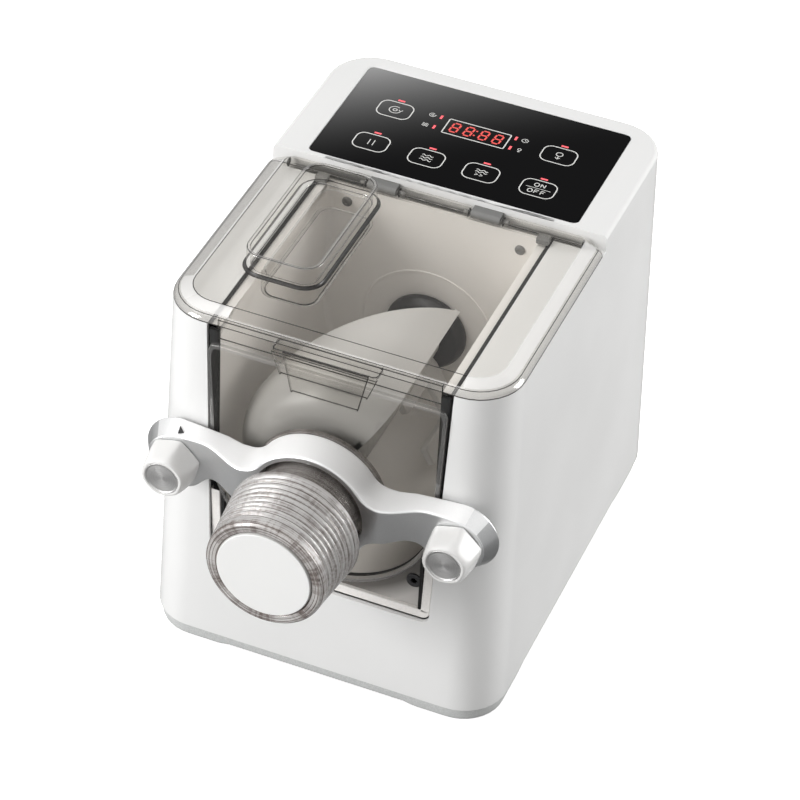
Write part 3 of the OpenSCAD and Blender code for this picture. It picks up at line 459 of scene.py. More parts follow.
# %% Curves and outlines
def arc(centre, radius, start, end, count):
    """Points of a circle: centre + radius (cos a, sin a) for count angles a from start to end degrees."""
    a = np.radians(np.linspace(start, end, count))
    return np.stack([centre[0] + radius * np.cos(a), centre[1] + radius * np.sin(a)], axis=1)


def box_loop(x0, x1, y0, y1, radii, arcs=8, sides=(6, 6)):
    """Closed outline of a box with its own radius at each corner (right front first, anticlockwise) and
    a fixed number of points on each corner and side, so that two such loops can be joined point by point."""
    r = [radii] * 4 if np.isscalar(radii) else radii
    corners = [arc((x1 - r[0], y0 + r[0]), r[0], -90, 0, arcs),
               arc((x1 - r[1], y1 - r[1]), r[1], 0, 90, arcs),
               arc((x0 + r[2], y1 - r[2]), r[2], 90, 180, arcs),
               arc((x0 + r[3], y0 + r[3]), r[3], 180, 270, arcs)]
    out = []
    for k in range(4):
        nxt = corners[(k + 1) % 4]
        out += [corners[k], np.linspace(corners[k][-1], nxt[0], sides[k % 2] + 2)[1:-1]]
    return np.concatenate(out)


def at_height(loop, z):
    """Lifts a loop of (x, y) to the height z."""
    return np.column_stack([loop, np.full(len(loop), float(z))])


def facing_front(loop, y):
    """Stands a loop of (x, z) upright in the plane y."""
    return np.column_stack([loop[:, 0], np.full(len(loop), float(y)), loop[:, 1]])


def mirrored(half):
    """A path of (x, z) from the right to the centre line, and on to the left as its mirror image."""
    return np.concatenate([half, (half * [-1, 1])[::-1]])


def turned(profile, centre=(0, AXIS_Z), segments=96):
    """Surface of revolution about a front-to-back axis: each (radius, y) of the profile becomes the circle
    x = centre x + radius cos a, z = centre z + radius sin a."""
    profile = np.asarray(profile, float)
    a = np.radians(np.linspace(0, 360, segments + 1))[:, None]
    x = centre[0] + profile[None, :, 0] * np.cos(a)
    z = centre[1] + profile[None, :, 0] * np.sin(a)
    return np.stack([x, np.broadcast_to(profile[None, :, 1], x.shape), z], axis=-1)


def eased(profile, radius, count=4, closed=False):
    """Rounds the corners of a polyline: near each corner the line follows a quadratic Bezier curve whose ends
    lie radius (or less on short sides) away, written as (1-t)^2 a + 2t(1-t) corner + t^2 b."""
    p = np.asarray(profile, float)
    n = len(p)
    radii = np.broadcast_to(radius, n)
    out = []
    for i in range(n):
        if (not closed and i in (0, n - 1)) or radii[i] == 0:
            out.append(p[i:i + 1])
            continue
        before, after = p[i - 1] - p[i], p[(i + 1) % n] - p[i]
        lb, la = np.linalg.norm(before), np.linalg.norm(after)
        cut = min(radii[i], 0.48 * lb, 0.48 * la)
        t = np.linspace(0, 1, count + 1)[:, None]
        a, b = p[i] + before / lb * cut, p[i] + after / la * cut
        out.append((1 - t) ** 2 * a + 2 * t * (1 - t) * p[i] + t ** 2 * b)
    return np.concatenate(out)


def pushed(loop, amount, closed=True):
    """Moves each point of a plane curve by amount along its left-hand normal."""
    loop = np.asarray(loop, float)
    if closed:
        along = np.roll(loop, -1, axis=0) - np.roll(loop, 1, axis=0)
    else:
        along = np.gradient(loop, axis=0)
    along /= np.maximum(np.linalg.norm(along, axis=1, keepdims=True), 1e-9)
    return loop + amount * np.column_stack([-along[:, 1], along[:, 0]])


print("surface tools ready")

# %% [markdown]
# ## Finishes
# The casing is a gloss injection-moulded white with a faint orange peel. The inner mouldings are a warmer,
# satin white. The bar is a bead-blasted casting, the knob discs are spun, and the base is a grained grey.

# %% Opaque finishes
TUB_TONE = (0.92, 0.895, 0.865)
GROOVE = 0.3   # step of the turned grooves, which the knob's disc repeats


def gloss_white(name, colour, rough, peel=0.00002):
    """Moulded white: very slow changes of tone, a gloss that varies a little, and a fine orange peel."""
    f = Finish(name, colour, rough)
    spot = f.spot()
    slow = f.noise(spot, 9.0, 2.0)
    fine = f.noise(spot, 900.0, 2.0)
    f.set({"Base Color": f.mix(slow.spread(0.35, 0.65), toned(colour, 0.985), toned(colour, 1.01)),
           "Roughness": slow.spread(0.3, 0.7, rough * 0.85, rough * 1.2)})
    f.bump(fine + f.noise(spot, 160.0, 1.0) * 0.6, peel, 0.35)
    return f


def grained(name, colour, rough, scale, depth, fleck=0.12, **constants):
    """Textured plastic or rubber: spark-eroded grain as relief, and a tone that follows it."""
    f = Finish(name, colour, rough, **constants)
    spot = f.spot()
    grain = f.noise(spot, scale, 3.0, 0.6)
    wide = f.noise(spot, scale / 40.0, 2.0)
    f.set({"Base Color": f.mix(grain.spread(0.35, 0.65), toned(colour, 1 - fleck), toned(colour, 1 + fleck)),
           "Roughness": (grain * 0.12 + wide * 0.1).spread(0.05, 0.17, rough * 0.9, min(1, rough * 1.12))})
    f.bump(grain, depth, 0.6)
    return f


def satin_casting(name, dark, light, metallic):
    """Bead-blasted, clear-lacquered aluminium: fine even grain and slow shifts of tone and gloss. On the bar, a
    near-white copy with a low metallic share is a painted highlight on its drafted rim, and a darker copy is
    painted shade on its two ends."""
    f = Finish(name, light, 0.38, metallic)
    spot = f.spot()
    grain = f.noise(spot, 2600.0, 3.0, 0.65)
    slow = f.noise(spot, 22.0, 2.0)
    f.set({"Base Color": f.mix(grain.spread(0.3, 0.7), dark, light),
           "Roughness": slow.spread(0.3, 0.7, 0.34, 0.44)})
    f.bump(grain, 0.00003, 0.5)
    return f


def spun(name, centre_x, centre_z=STUD_Z, colour=(0.84, 0.835, 0.83), rough=0.3):
    """Lathe-turned metal: grooves 0.3 mm apart about the axis, which throw the light into two opposite
    sectors, and a sheen that changes a little from ring to ring."""
    f = Finish(name, colour, rough, 1.0)
    x, _, z = f.place()
    dx, dz = x - centre_x, z - centre_z
    radius = (dx * dx + dz * dz) ** 0.5
    rings = f.noise(f.vector(radius * 3.0, 0.0, 0.0), 1.0, 4.0, 0.7)
    grooves = (radius * (2 * np.pi / GROOVE)).math("SINE") * 0.5 + 0.5
    f.set({"Base Color": f.mix(rings.spread(0.3, 0.7), toned(colour, 0.72), toned(colour, 1.15)),
           "Roughness": rings.spread(0.3, 0.7, rough * 0.8, rough * 1.35)})
    f.bump(grooves * 0.7 + rings * 0.3, 0.00006, 1.0)
    return f


print("kinds of opaque finish ready")

# %% Finishes of the pieces
casing_white = gloss_white("casing_white", (0.86, 0.86, 0.855), 0.2)
part_white = gloss_white("part_white", (0.83, 0.825, 0.815), 0.28)
disc_white = gloss_white("disc_white", (0.88, 0.88, 0.87), 0.3)
tub_warm = grained("tub_warm", TUB_TONE, 0.42, 700.0, 0.00002, 0.03)
seal_lit = grained("seal_lit", (0.42, 0.4, 0.38), 0.4, 900.0, 0.00002, 0.05)
base_grey = grained("base_grey", (0.6, 0.61, 0.605), 0.55, 1500.0, 0.00006)
rubber_black = grained("rubber_black", (0.012, 0.012, 0.012), 0.62, 1100.0, 0.00003)
rubber_grey = grained("rubber_grey", (0.05, 0.05, 0.05), 0.7, 900.0, 0.00004)
charcoal = grained("charcoal", (0.03, 0.03, 0.032), 0.36, 1300.0, 0.00002)
gear_nylon = grained("gear_nylon", (0.66, 0.6, 0.46), 0.45, 500.0, 0.00002, 0.04)
motor_enamel = grained("motor_enamel", (0.055, 0.06, 0.065), 0.4, 1200.0, 0.00003)
winding = grained("winding", (0.45, 0.2, 0.08), 0.4, 2400.0, 0.0001, 0.4, metallic=0.8)
board_green = grained("board_green", (0.02, 0.11, 0.05), 0.35, 600.0, 0.00003, 0.25)
board_parts = grained("board_parts", (0.35, 0.28, 0.12), 0.5, 300.0, 0.00003, 0.3)
bar_metal = satin_casting("bar_metal", (0.74, 0.745, 0.75), (0.86, 0.865, 0.87), 1.0)
# painted highlight: near white and barely metallic, for the bar's drafted rim
bar_rim = satin_casting("bar_rim", (0.94, 0.94, 0.94), (0.99, 0.99, 0.99), 0.12)
# painted shade: a darker copy for the outer rim of the bar's two ends
bar_end = satin_casting("bar_end", (0.42, 0.425, 0.43), (0.52, 0.525, 0.53), 0.9)
turned_steel = spun("turned_steel", 0.0, AXIS_Z, (0.5, 0.51, 0.52), 0.28)
left_spin = spun("left_spin", -STUD_X)
right_spin = spun("right_spin", STUD_X)
print("finishes:", len(bpy.data.materials))

# %% [markdown]
# ## Casing
# The casing is one injection moulding: a box with a slight draft and round upright corners, a flat shoulder
# round the mouth, a tall slot in front, cooling slots and the inlet's hole at the back. The raised control
# deck is moulded with it. It is drawn as a single sheet on the outside, and a Solidify modifier gives it its
# wall.

# %% Casing outline
FOOT_Z, SHOULDER = 10.5, 250.0                     # the casing's lower edge and its shoulder
HALF_WIDTH, HALF_DEPTH, DRAFT = 116.5, 148.5, 0.027933
CORNER = 29.5
MOUTH_BACK, DECK_Y, DECK_RISE = 22.6, 23.6, 11.0   # rear end of the mouth, front and height of the deck
SLOT_HALF, SLOT_FLARE = 72.3, 0.02934
SLOT_R, SLOT_LOW, SLOT_FOOT = 6.0, 79.5, 73.5      # the slot's lower corners, their upper end and the sill
ROWS_LOW = np.array([FOOT_Z, 23.8, 34.0, 44.2, 60.0, SLOT_FOOT, SLOT_LOW])
ROWS_HIGH = np.array([SLOT_LOW, 95.0, 110.0, 130.0, 155.0, 180.0, 215.0, SHOULDER])
VENT_X, VENT_HALF = np.arange(-54.0, 55.0, 12.0), 2.2
INLET_X, INLET_Z, INLET_HALF = 68.0, 34.0, 13.7
SIDE_Y = np.array([-80.0, -30.0, MOUTH_BACK, DECK_Y, 60.0, 95.0])
INLET_ENDS = [INLET_X - INLET_HALF, INLET_X + INLET_HALF]
REAR_X = np.unique(np.round(np.concatenate([VENT_X - VENT_HALF, VENT_X + VENT_HALF, INLET_ENDS]), 3))[::-1]
ARC = 10                                           # points on a corner


def half_w(z):
    """Half width of the drafted casing at height z."""
    return HALF_WIDTH - (z - FOOT_Z) * DRAFT


def half_d(z):
    """Half depth of the drafted casing at height z."""
    return HALF_DEPTH - (z - FOOT_Z) * DRAFT


def slot_half(z):
    """Half width of the front slot, which widens upward from its round lower corners."""
    return SLOT_HALF + (z - SLOT_LOW) * SLOT_FLARE


def ring_about(w, d, r):
    """Outline from the right front corner round the back to the left front corner; the stations on the
    straight sides are clipped to their straight part, so that any two such outlines match point by point."""
    side = np.clip(SIDE_Y, -(d - r), d - r)
    rear = np.clip(REAR_X, -(w - r), w - r)
    right = np.concatenate([arc((w - r, -(d - r)), r, -90, 0, ARC),
                            np.column_stack([np.full(len(side), w), side]),
                            arc((w - r, d - r), r, 0, 90, ARC)])
    left = right[::-1] * [-1, 1]
    return np.concatenate([right, np.column_stack([rear, np.full(len(rear), d)]), left])


def casing_ring(z, inset=0.0):
    return at_height(ring_about(half_w(z) - inset, half_d(z) - inset, CORNER - inset), z)


print("casing at its foot, mm:", 2 * half_w(FOOT_Z), 2 * half_d(FOOT_Z))

# %% Walls of the casing
def add_wrap(s):
    """Sides and back, without the cells of the cooling slots and the inlet."""
    wrap = np.array([casing_ring(z) for z in np.concatenate([ROWS_LOW, ROWS_HIGH[1:]])])
    x, y, z = np.moveaxis((wrap[:-1, :-1] + wrap[1:, 1:]) / 2, -1, 0)
    in_slots = (60 < z) & (z < 110) | (130 < z) & (z < 180)
    vent = (np.abs(x[..., None] - VENT_X).min(-1) < VENT_HALF) & in_slots
    inlet = (np.abs(x - INLET_X) < INLET_HALF) & (23.8 < z) & (z < 44.2)
    s.patch(wrap, keep=~((y > 140) & (vent | inlet)))


def add_front(s):
    """Front wall: a strip at each side of the slot, and the part below it, whose rows flow from the slot's
    round lower corners to the straight foot."""
    for side in (1, -1):
        s.patch([[[side * x, -half_d(z), z] for x in (slot_half(z), half_w(z) - CORNER)] for z in ROWS_HIGH])
    corner = arc((SLOT_HALF - SLOT_R, SLOT_LOW), SLOT_R, 0, -90, 7)
    path = [[[half_w(SLOT_LOW) - CORNER, SLOT_LOW]], corner, [[30.0, SLOT_FOOT], [0.0, SLOT_FOOT]]]
    path = np.concatenate(path)
    path = np.concatenate([path, (path[:-1] * [-1, 1])[::-1]])
    foot = np.column_stack([path[:, 0] * 1.1, np.full(len(path), FOOT_Z)])
    foot[[0, -1], 0] = [half_w(FOOT_Z) - CORNER, CORNER - half_w(FOOT_Z)]
    t = ((SLOT_LOW - ROWS_LOW[::-1]) / (SLOT_LOW - FOOT_Z))[:, None, None]
    low = path * (1 - t) + foot * t
    s.patch(np.stack([low[..., 0], -half_d(low[..., 1]), low[..., 1]], -1))


print("rows of the wrap:", len(ROWS_LOW) + len(ROWS_HIGH) - 1)

# %% Shoulder and deck
DECK_CUT = ARC + int(np.argmin(abs(SIDE_Y - DECK_Y)))        # station on an outline where the deck begins
DECK_PART = slice(DECK_CUT, 2 * (2 * ARC + len(SIDE_Y)) + len(REAR_X) - DECK_CUT)
DECK_EDGE_R = 3.0
DECK_TOP = SHOULDER + DECK_RISE
DECK_EDGE = [(SHOULDER, 0.0), (DECK_TOP - DECK_EDGE_R, 0.0)]
DECK_EDGE += [(DECK_TOP - DECK_EDGE_R + DECK_EDGE_R * np.sin(t), DECK_EDGE_R - DECK_EDGE_R * np.cos(t))
              for t in np.radians([18, 36, 54, 72, 90])]
GLASS_X, GLASS_Y0, GLASS_Y1, GLASS_R = 88.4, 28.4, 129.0, 4.0


def add_shoulder(s):
    """Flat shoulder beside and behind the mouth."""
    edge = slot_half(SHOULDER)
    outer = np.concatenate([[[edge, -half_d(SHOULDER), SHOULDER]], casing_ring(SHOULDER)[:DECK_CUT + 1]])
    inner = outer.copy()
    inner[:, 0] = edge
    for side in (1, -1):
        s.patch([outer * [side, 1, 1], inner * [side, 1, 1]])
    s.patch([[[edge, y, SHOULDER], [-edge, y, SHOULDER]] for y in (MOUTH_BACK, DECK_Y)])


def pocket_ring(grow, z):
    """Outline of the glass grown by grow, point by point like the deck's rim, and its two front corners."""
    w, r, y0, y1 = GLASS_X + grow, GLASS_R + grow, GLASS_Y0 - grow, GLASS_Y1 + grow
    ring = ring_about(w, (y1 - y0) / 2, r)
    ring[:, 1] += (y0 + y1) / 2
    side = np.clip(SIDE_Y, y0 + r, y1 - r)
    ring[ARC:ARC + len(side), 1] = side
    ring[len(ring) - ARC - len(side):len(ring) - ARC, 1] = side[::-1]
    corners = [arc((-w + r, y0 + r), r, 180, 270, 6), arc((w - r, y0 + r), r, 270, 360, 6)]
    return at_height(np.concatenate([ring[DECK_PART], *corners]), z)


def add_deck(s):
    """The deck's round edge, its front wall, and its frame with the glass's pocket."""
    s.patch([casing_ring(z, inset)[DECK_PART] for z, inset in DECK_EDGE])
    edge = slot_half(SHOULDER) / half_w(SHOULDER)
    across = np.array([1, edge, 0.3, -0.3, -edge, -1])
    s.patch([[[x * (half_w(z) - inset), DECK_Y, z] for x in across] for z, inset in DECK_EDGE])
    rim = casing_ring(DECK_TOP, DECK_EDGE_R)[DECK_PART]
    outer = np.concatenate([rim, np.repeat(rim[-1:], 6, 0), np.repeat(rim[:1], 6, 0)])
    pocket = [pocket_ring(grow, z) for grow, z in ((1.2, DECK_TOP), (0.2, 260.0), (0.2, 258.3))]
    stack = np.array([outer, *pocket])
    s.patch(np.concatenate([stack, stack[:, :1]], axis=1))


print("points along the deck's edge:", DECK_PART.stop - DECK_PART.start)

# %% Casing
casing = Shape()
for add_part in (add_wrap, add_front, add_shoulder, add_deck):
    add_part(casing)
casing.make("casing", casing_white, nodes=("housing", "deck"), slot="white_shell", thick=2.8, round_=0.8,
            segments=3, sharp=50)

# %% [markdown]
# ## Clear plastic
# The lid, the barrel, the ring nut and the front cover are clear moulded plastic with a slightly warm smoke
# tint. A thin clear wall is nearly invisible face on and turns dark and shiny at a grazing angle, where the
# light has a long way through it. So a wall is a mix of a transparent shader and a coloured gloss, and the
# gloss's share grows from face on to edge on. An edge, where the surface turns, then draws itself.

# %% Clear finishes
def streaks(f):
    """Noise stretched round the barrel's axis and, with less weight, along it: painted streaks of the dark and
    light that the thick threaded plastic bends into view.
    """
    x, y, z = f.place()
    z = z - AXIS_Z
    turn = (x * x + z * z) ** -0.5
    c, s = x * turn, z * turn
    hoop = f.noise(f.vector(c * 1.2, s * 1.2, y * 1.1), 1.0, 3.0, 0.62)
    flute = f.noise(f.vector(c * 15.0, s * 15.0, y * 0.06), 1.0, 3.0, 0.6)
    return hoop * 0.7 + flute * 0.3


def clear_wall(name, tint, body, edge, curve, rough=0.06, mirror=0.0, smoke=0.993, refraction_tint=None):
    """Share of gloss = body + (edge - body) * facing^2, where facing is 0 face on and 1 edge on, bent by
    curve. mirror is the part of it that reflects whole, as the inside of a thick bend does; smoke is what a
    wall lets through. The last argument is a darker tint in streaks: a painted refraction of what the thick
    wall bends into view."""
    f = Finish(name, tint, rough, mirror, ior=1.49)
    slow = f.noise(f.spot(), 14.0, 2.0)
    facing = f.add("ShaderNodeLayerWeight", None, {"Blend": curve}, "Facing")
    colour = f.mix(facing.spread(0.25, 0.95), tint, toned(tint, 0.42))
    share = (facing * facing).spread(0.02, 0.95, body, edge) * slow.spread(0.2, 0.8, 0.94, 1.06)
    if refraction_tint:
        refraction_streak = streaks(f)
        colour = f.mix(refraction_streak.spread(0.4, 0.55), refraction_tint, colour)
        f.bump(refraction_streak, 0.0012, 0.6)
        share = share * refraction_streak.spread(0.4, 0.62, 1.12, 0.82)
    f.set({"Base Color": colour, "Roughness": slow.spread(0.3, 0.7, rough * 0.7, rough * 1.6)})
    tinted = (smoke, smoke * 0.995, smoke * 0.985, 1.0)
    f.show(share, f.add("ShaderNodeBsdfTransparent", None, {"Color": tinted}), f.shade())
    return f


lid_clear = clear_wall("lid_clear", (0.62, 0.61, 0.6), 0.014, 0.7, 0.22)
cover_clear = clear_wall("cover_clear", (0.42, 0.41, 0.39), 0.02, 0.65, 0.25, smoke=0.9)
clear_edge = clear_wall("clear_edge", (0.014, 0.013, 0.012), 0.94, 0.98, 0.5, 0.2)
clear_bend = clear_wall("clear_bend", (0.66, 0.65, 0.64), 0.25, 0.95, 0.62, 0.1, mirror=0.65)
clear_slope = clear_wall("clear_slope", (0.97, 0.965, 0.96), 0.6, 0.75, 0.5, 0.2, mirror=0.1)
nut_clear = clear_wall("nut_clear", (1.0, 0.99, 0.98), 0.6, 0.88, 0.5, 0.12, mirror=0.2,
                       refraction_tint=(0.36, 0.325, 0.31))
nut_lip = clear_wall("nut_lip", (0.88, 0.855, 0.84), 0.66, 0.9, 0.5, 0.12, mirror=0.2,
                     refraction_tint=(0.17, 0.13, 0.118))
nut_groove = clear_wall("nut_groove", (0.17, 0.13, 0.115), 0.66, 0.92, 0.5, 0.12, mirror=0.15)
barrel_clear = clear_wall("barrel_clear", (0.4, 0.37, 0.35), 0.5, 0.9, 0.45, 0.1, mirror=0.2,
                          refraction_tint=(0.12, 0.1, 0.09))
print("clear finishes ready")

# %% [markdown]
# ## Lid
# One clear moulding. Its rim slopes up to a flat top 7 mm higher, and the feed chute's collar stands on that.
# Under each side lie two ribs, the outer one painted with a bright line and the inner one with a dark line,
# and a lip hangs over the front slot. Two stepped thumb tabs lift the lid, and a round rail along its rear edge
# is its hinge. The shell is a closed stack of loops that goes over the outside, down through the chute and back
# along the underside. A thick clear wall shows as dark and bright lines where it turns and bends the light;
# these lines are painted, since each band between two loops has its own finish.

# %% Lid shell
# BEND, EDGE and SLOPE paint the light that thick clear plastic bends: a grey, partly mirroring band on bends,
# dark lines on edges and bright lines on slopes
CLEAR, BEND, EDGE, SLOPE = 0, 1, 2, 3   # kinds of surface: thin wall, bend, dark edge, bright slope
LID_BANDS = "EBBBEBSSSE C EE C BEBBE C BECBCEBBC C CC C"   # their first letters, band by band
LID_Z, LID_RISE, LID_BACK = 250.3, 7.2, 21.8
LID_WALL = 2.4
HINGE, RAIL_R, LUG_X = (18.8, 254.5), 3.0, 34.0
COLLAR, COLLAR_R, COLLAR_FOOT, COLLAR_TOP = (-77.0, -28.5, -97.0, 6.0), 12.0, 257.5, 271.5
CHUTE, CHUTE_R = (-64.9, -32.9, -92.6, 1.6), 8.0


def lid_loop(inset, rise, shrink=0.0, z=None):
    """Outline of the lid where its shoulder has come in by the share inset and up by the share rise."""
    w = half_w(SHOULDER) - 12 * inset - shrink
    front, r = 12 * inset - half_d(SHOULDER) + shrink, CORNER - 12 * inset - shrink
    loop = box_loop(-w, w, front, LID_BACK - shrink, (r, 6 - shrink * 0.8, 6 - shrink * 0.8, r), 9, (10, 10))
    return at_height(loop, LID_Z + LID_RISE * rise if z is None else z)


def upright_loop(box, grow, r, z):
    """Outline of the box (x0, x1, y0, y1) grown by grow, at the height z."""
    return at_height(box_loop(box[0] - grow, box[1] + grow, box[2] - grow, box[3] + grow, r, 9, (10, 10)), z)


def shell_kinds(outline):
    """The finish of each cell: the bands' own, but for a few stretches of the shoulder."""
    bands = ["CBES".index(letter) for letter in LID_BANDS.replace(" ", "")]
    table = np.repeat(np.array(bands)[:, None], len(outline), axis=1)
    across, along = outline[:, 0], outline[:, 1]
    table[9, across > 80] = SLOPE
    table[6:9, (np.abs(across) < 73) & (along < 0)] = CLEAR
    table[5:8, (across < -90) & (along > -112)] = BEND
    table[1:9, along > LID_BACK - 4.0] = CLEAR
    return table


def lid_shell():
    s = Shape()
    shoulder = [lid_loop(inset, rise) for inset, rise in
                ((0, 0), (0.008, 0.09), (0.06, 0.27), (0.14, 0.42), (0.235, 0.53), (0.275, 0.565),
                 (0.36, 0.63), (0.6, 0.80), (0.85, 0.955), (0.95, 0.99), (1.0, 1.0))]
    collar = [upright_loop(COLLAR, grow, COLLAR_R + grow, z) for grow, z in
              ((2.3, COLLAR_FOOT), (1.0, COLLAR_FOOT + 0.25), (0.0, COLLAR_FOOT + 1.5),
               (0.0, COLLAR_TOP - 0.8), (-0.25, COLLAR_TOP - 0.2), (-0.7, COLLAR_TOP), (-1.7, COLLAR_TOP),
               (-2.15, COLLAR_TOP - 0.2), (-2.4, COLLAR_TOP - 0.8), (-2.4, COLLAR_FOOT + 1.1))]
    ledge = [upright_loop(box, 0.0, r, z) for box, r, z in
             (((-74.2, -31.3, -94.2, 3.2), 9.4, 257.8), ((-73.6, -31.9, -93.8, 2.8), 9.0, 257.6),
              ((-66.2, -32.9, -92.8, 1.8), 8.2, 257.0))]
    chute = [upright_loop(CHUTE, grow, CHUTE_R + grow * 2 / 3, z) for grow, z in
             ((0.0, 256.0), (0.0, 242.1), (0.6, 241.5), (1.8, 241.5), (2.4, 242.1), (2.4, 254.3))]
    under = [lid_loop(inset, 1, LID_WALL, z) for inset, z in ((1, 254.7), (0.5, 252.6), (0, LID_Z))]
    stack = shoulder + collar + ledge + chute + under
    s.tube(stack + stack[:1], caps=False, kind=shell_kinds(stack[0]))
    for side in (-1, 1):
        # the outer rib gets a painted bright line, the inner one a painted dark line
        for a, b, kind in ((73.6, 70.6, SLOPE), (69.6, 67.4, EDGE)):
            rib = (*sorted((side * a, side * b)), -132.8, 11.8)
            s.tube([upright_loop(rib, 0.0, 0.15, z) for z in (253.0, 254.8)], kind=kind)
    return s


def lid_notches():
    """Two notches in the rear edge that clear the deck's hinge lugs."""
    s = Shape()
    for x in (-LUG_X, LUG_X):
        s.tube([upright_loop((x - 10.5, x + 10.5, 12.2, 30.0), 0.0, 0.5, z) for z in (240.0, 270.0)])
    return s


lid_shell().make("lid_top", lid_clear, "lid", nodes=("lid",), slot="clear_plastic", round_=0.45, sharp=50,
                 cutter=lid_notches(), more=(clear_bend, clear_edge, clear_slope))

# %% Lid lip, thumb tabs and hinge rail
def add_plate(s, half, y0, y1, z0, z1, narrow=0.0, r=0.5):
    """Upright plate from x = -half to half; its lower end is narrower by narrow at each side."""
    loops = [at_height(box_loop(n + g - half, half - n - g, y0 + g, y1 - g, r, 3, (10, 1)), z) for z, n, g in
             ((z0, narrow, 0.5), (z0 + 0.5, narrow, 0.0), (z0 + 1.2, narrow * 0.94, 0.0),
              (z1 - 0.45, 0.0, 0.0), (z1, 0.0, 0.45))]
    middle = (loops[3] + np.roll(loops[3], -1, axis=0)) / 2
    # painted lines of bent light: dark along the plate's foot and top, a grey bend at its ends
    kind = np.tile(np.array([EDGE, CLEAR, CLEAR, EDGE])[:, None], (1, len(middle)))
    ends = np.abs(middle[:, 0]) > half - 1.0
    kind[1:3, ends] = BEND
    kind[:, ends & (middle[:, 1] < y0 + 0.45)] = EDGE
    s.tube(loops, kind=kind)


def lid_trim():
    """Front lip, the shelf over it, two thumb tiers that narrow downward, and the rail in three parts."""
    s = Shape()
    add_plate(s, 70.4, -142.2, -139.6, 239.8, 255.3)
    add_plate(s, 33.0, -149.8, -137.8, 251.2, 253.3, r=2.5)
    add_plate(s, 33.0, -150.2, -147.9, 235.3, 251.2, 5.5)
    add_plate(s, 27.0, -147.8, -145.6, 222.3, 250.8, 6.0)
    for x0, x1 in ((-97.0, -44.7), (-23.3, 23.3), (44.7, 97.0)):
        # the rail's ends carry painted dark lines of bent light
        ends = ((x0, 0.8), (x0 + 0.6, 1.0), (x1 - 0.6, 1.0), (x1, 0.8))
        s.tube([np.column_stack([np.full(24, x), arc(HINGE, RAIL_R * g, 0, 360, 25)[:-1]]) for x, g in ends],
               kind=[EDGE, CLEAR, EDGE])
    return s


lid_trim().make("lid_parts", lid_clear, "lid", slot="clear_plastic", sharp=30, more=(clear_bend, clear_edge))


def magnet_blocks():
    """Two grey blocks that close over the reed switches beside the rear rail."""
    s = Shape()
    for side in (-1, 1):
        x = side * 72.5
        s.tube([at_height(box_loop(x - 4 + g, x + 4 - g, 11.8 + g, 18.6 - g, 1.0, 4, (2, 2)), z)
                for z, g in ((250.5, 0.4), (250.9, 0.0), (254.1, 0.0), (254.5, 0.4))])
    return s


# dark grey plastic for the magnet blocks, the wall screws and the hinge pins; on the casing's hinge lugs it is
# painted shade
lug_grey = grained("lug_grey", (0.2, 0.2, 0.195), 0.4, 1200.0, 0.00001, 0.05)
magnet_blocks().make("magnets", lug_grey, "lid", nodes=("hinge_blocks",), slot="dark_plastic")

# %% [markdown]
# ## Mixing chamber
# A U-shaped trough in warm satin plastic, open at the top and at the front, where a black rubber seal and the
# clear cover close it. The trough's floor is round so that the paddle can wipe it. A round fillet joins the
# floor to the back wall, and a rim carries it on the casing's shoulder.

# %% Tub
TUB_R, TUB_TOP, TUB_FRONT, TUB_BACK = 69.5, 249.0, -139.5, 19.0
TUB_FILLET = 4.0
RIM_X, RIM_BACK = 77.0, 22.0


def u_path(radius, top, count=40):
    """The trough's section in (x, z): straight sides down from the height top, and half a circle."""
    side = np.linspace(top, AXIS_Z, 12)[:-1]
    right = np.column_stack([np.full(len(side), radius), side])
    bottom = arc((0, AXIS_Z), radius, 0, -180, count)
    return np.concatenate([right, bottom, right[::-1] * [-1, 1]])


def tub_shape():
    s = Shape()
    start = TUB_BACK - TUB_FILLET
    rows = [facing_front(u_path(TUB_R, TUB_TOP), y) for y in (TUB_FRONT, -100.0, -60.0, -20.0, start)]
    rows += [facing_front(u_path(TUB_R - TUB_FILLET + TUB_FILLET * np.cos(a), TUB_TOP),
                          start + TUB_FILLET * np.sin(a)) for a in np.radians([22.5, 45, 67.5, 90])]
    s.patch(rows)
    s.sheet(rows[-1])
    s.patch(turned([(42.6, 19.05), (43.1, 18.6), (44.0, 18.6), (44.5, 19.05)]))
    for side in (-1, 1):
        s.patch([[(side * TUB_R, y, TUB_TOP) for y in (TUB_FRONT, start, TUB_BACK)],
                 [(side * RIM_X, y, TUB_TOP) for y in (TUB_FRONT, start, RIM_BACK)]])
    s.patch([[(x * 0.9, TUB_BACK, TUB_TOP) for x in (-72.8, 0, 72.8)],
             [(x, RIM_BACK, TUB_TOP) for x in (-RIM_X, 0, RIM_X)]])
    return s


def tub_with_painted_shade():
    """Warm satin, painted darker low down at the front right: painted shade."""
    f = grained("tub_wall", TUB_TONE, 0.42, 700.0, 0.00002, 0.03)
    x, y, z = f.place()
    # painted shade: darker toward the front right, low down
    shade = x.spread(20.0, 66.0) * y.spread(-20.0, -110.0) * z.spread(232.0, 185.0)
    return f.set({"Base Color": f.mix(shade, TUB_TONE, (0.17, 0.15, 0.135))})


tub_shape().make("tub_skin", tub_with_painted_shade(), nodes=("tub",), slot="warm_tub", weld=0.02)

# %% [markdown]
# ## Clamp bar
# A satin casting that presses the barrel's flange on the cover: a ring in the middle, an eye for a stud at
# each end and a waisted arm between them. One closed outline of arcs and lines goes round it all. Its rim is a
# stack of copies of that outline, moved inward row by row, since a casting has draft; the front face is the
# bundle of straight spokes from the last copy to the bore and to the arm's centre line.

# %% Bar's outline
BAR_FRONT, BAR_END, BAR_BACK = -168.5, -158.5, -148.5   # its front at the ring and at the eyes, its back
RING_R, BORE_R, EYE_R, BAR_FILLET = 41.0, 35.4, 23.0, 14.0


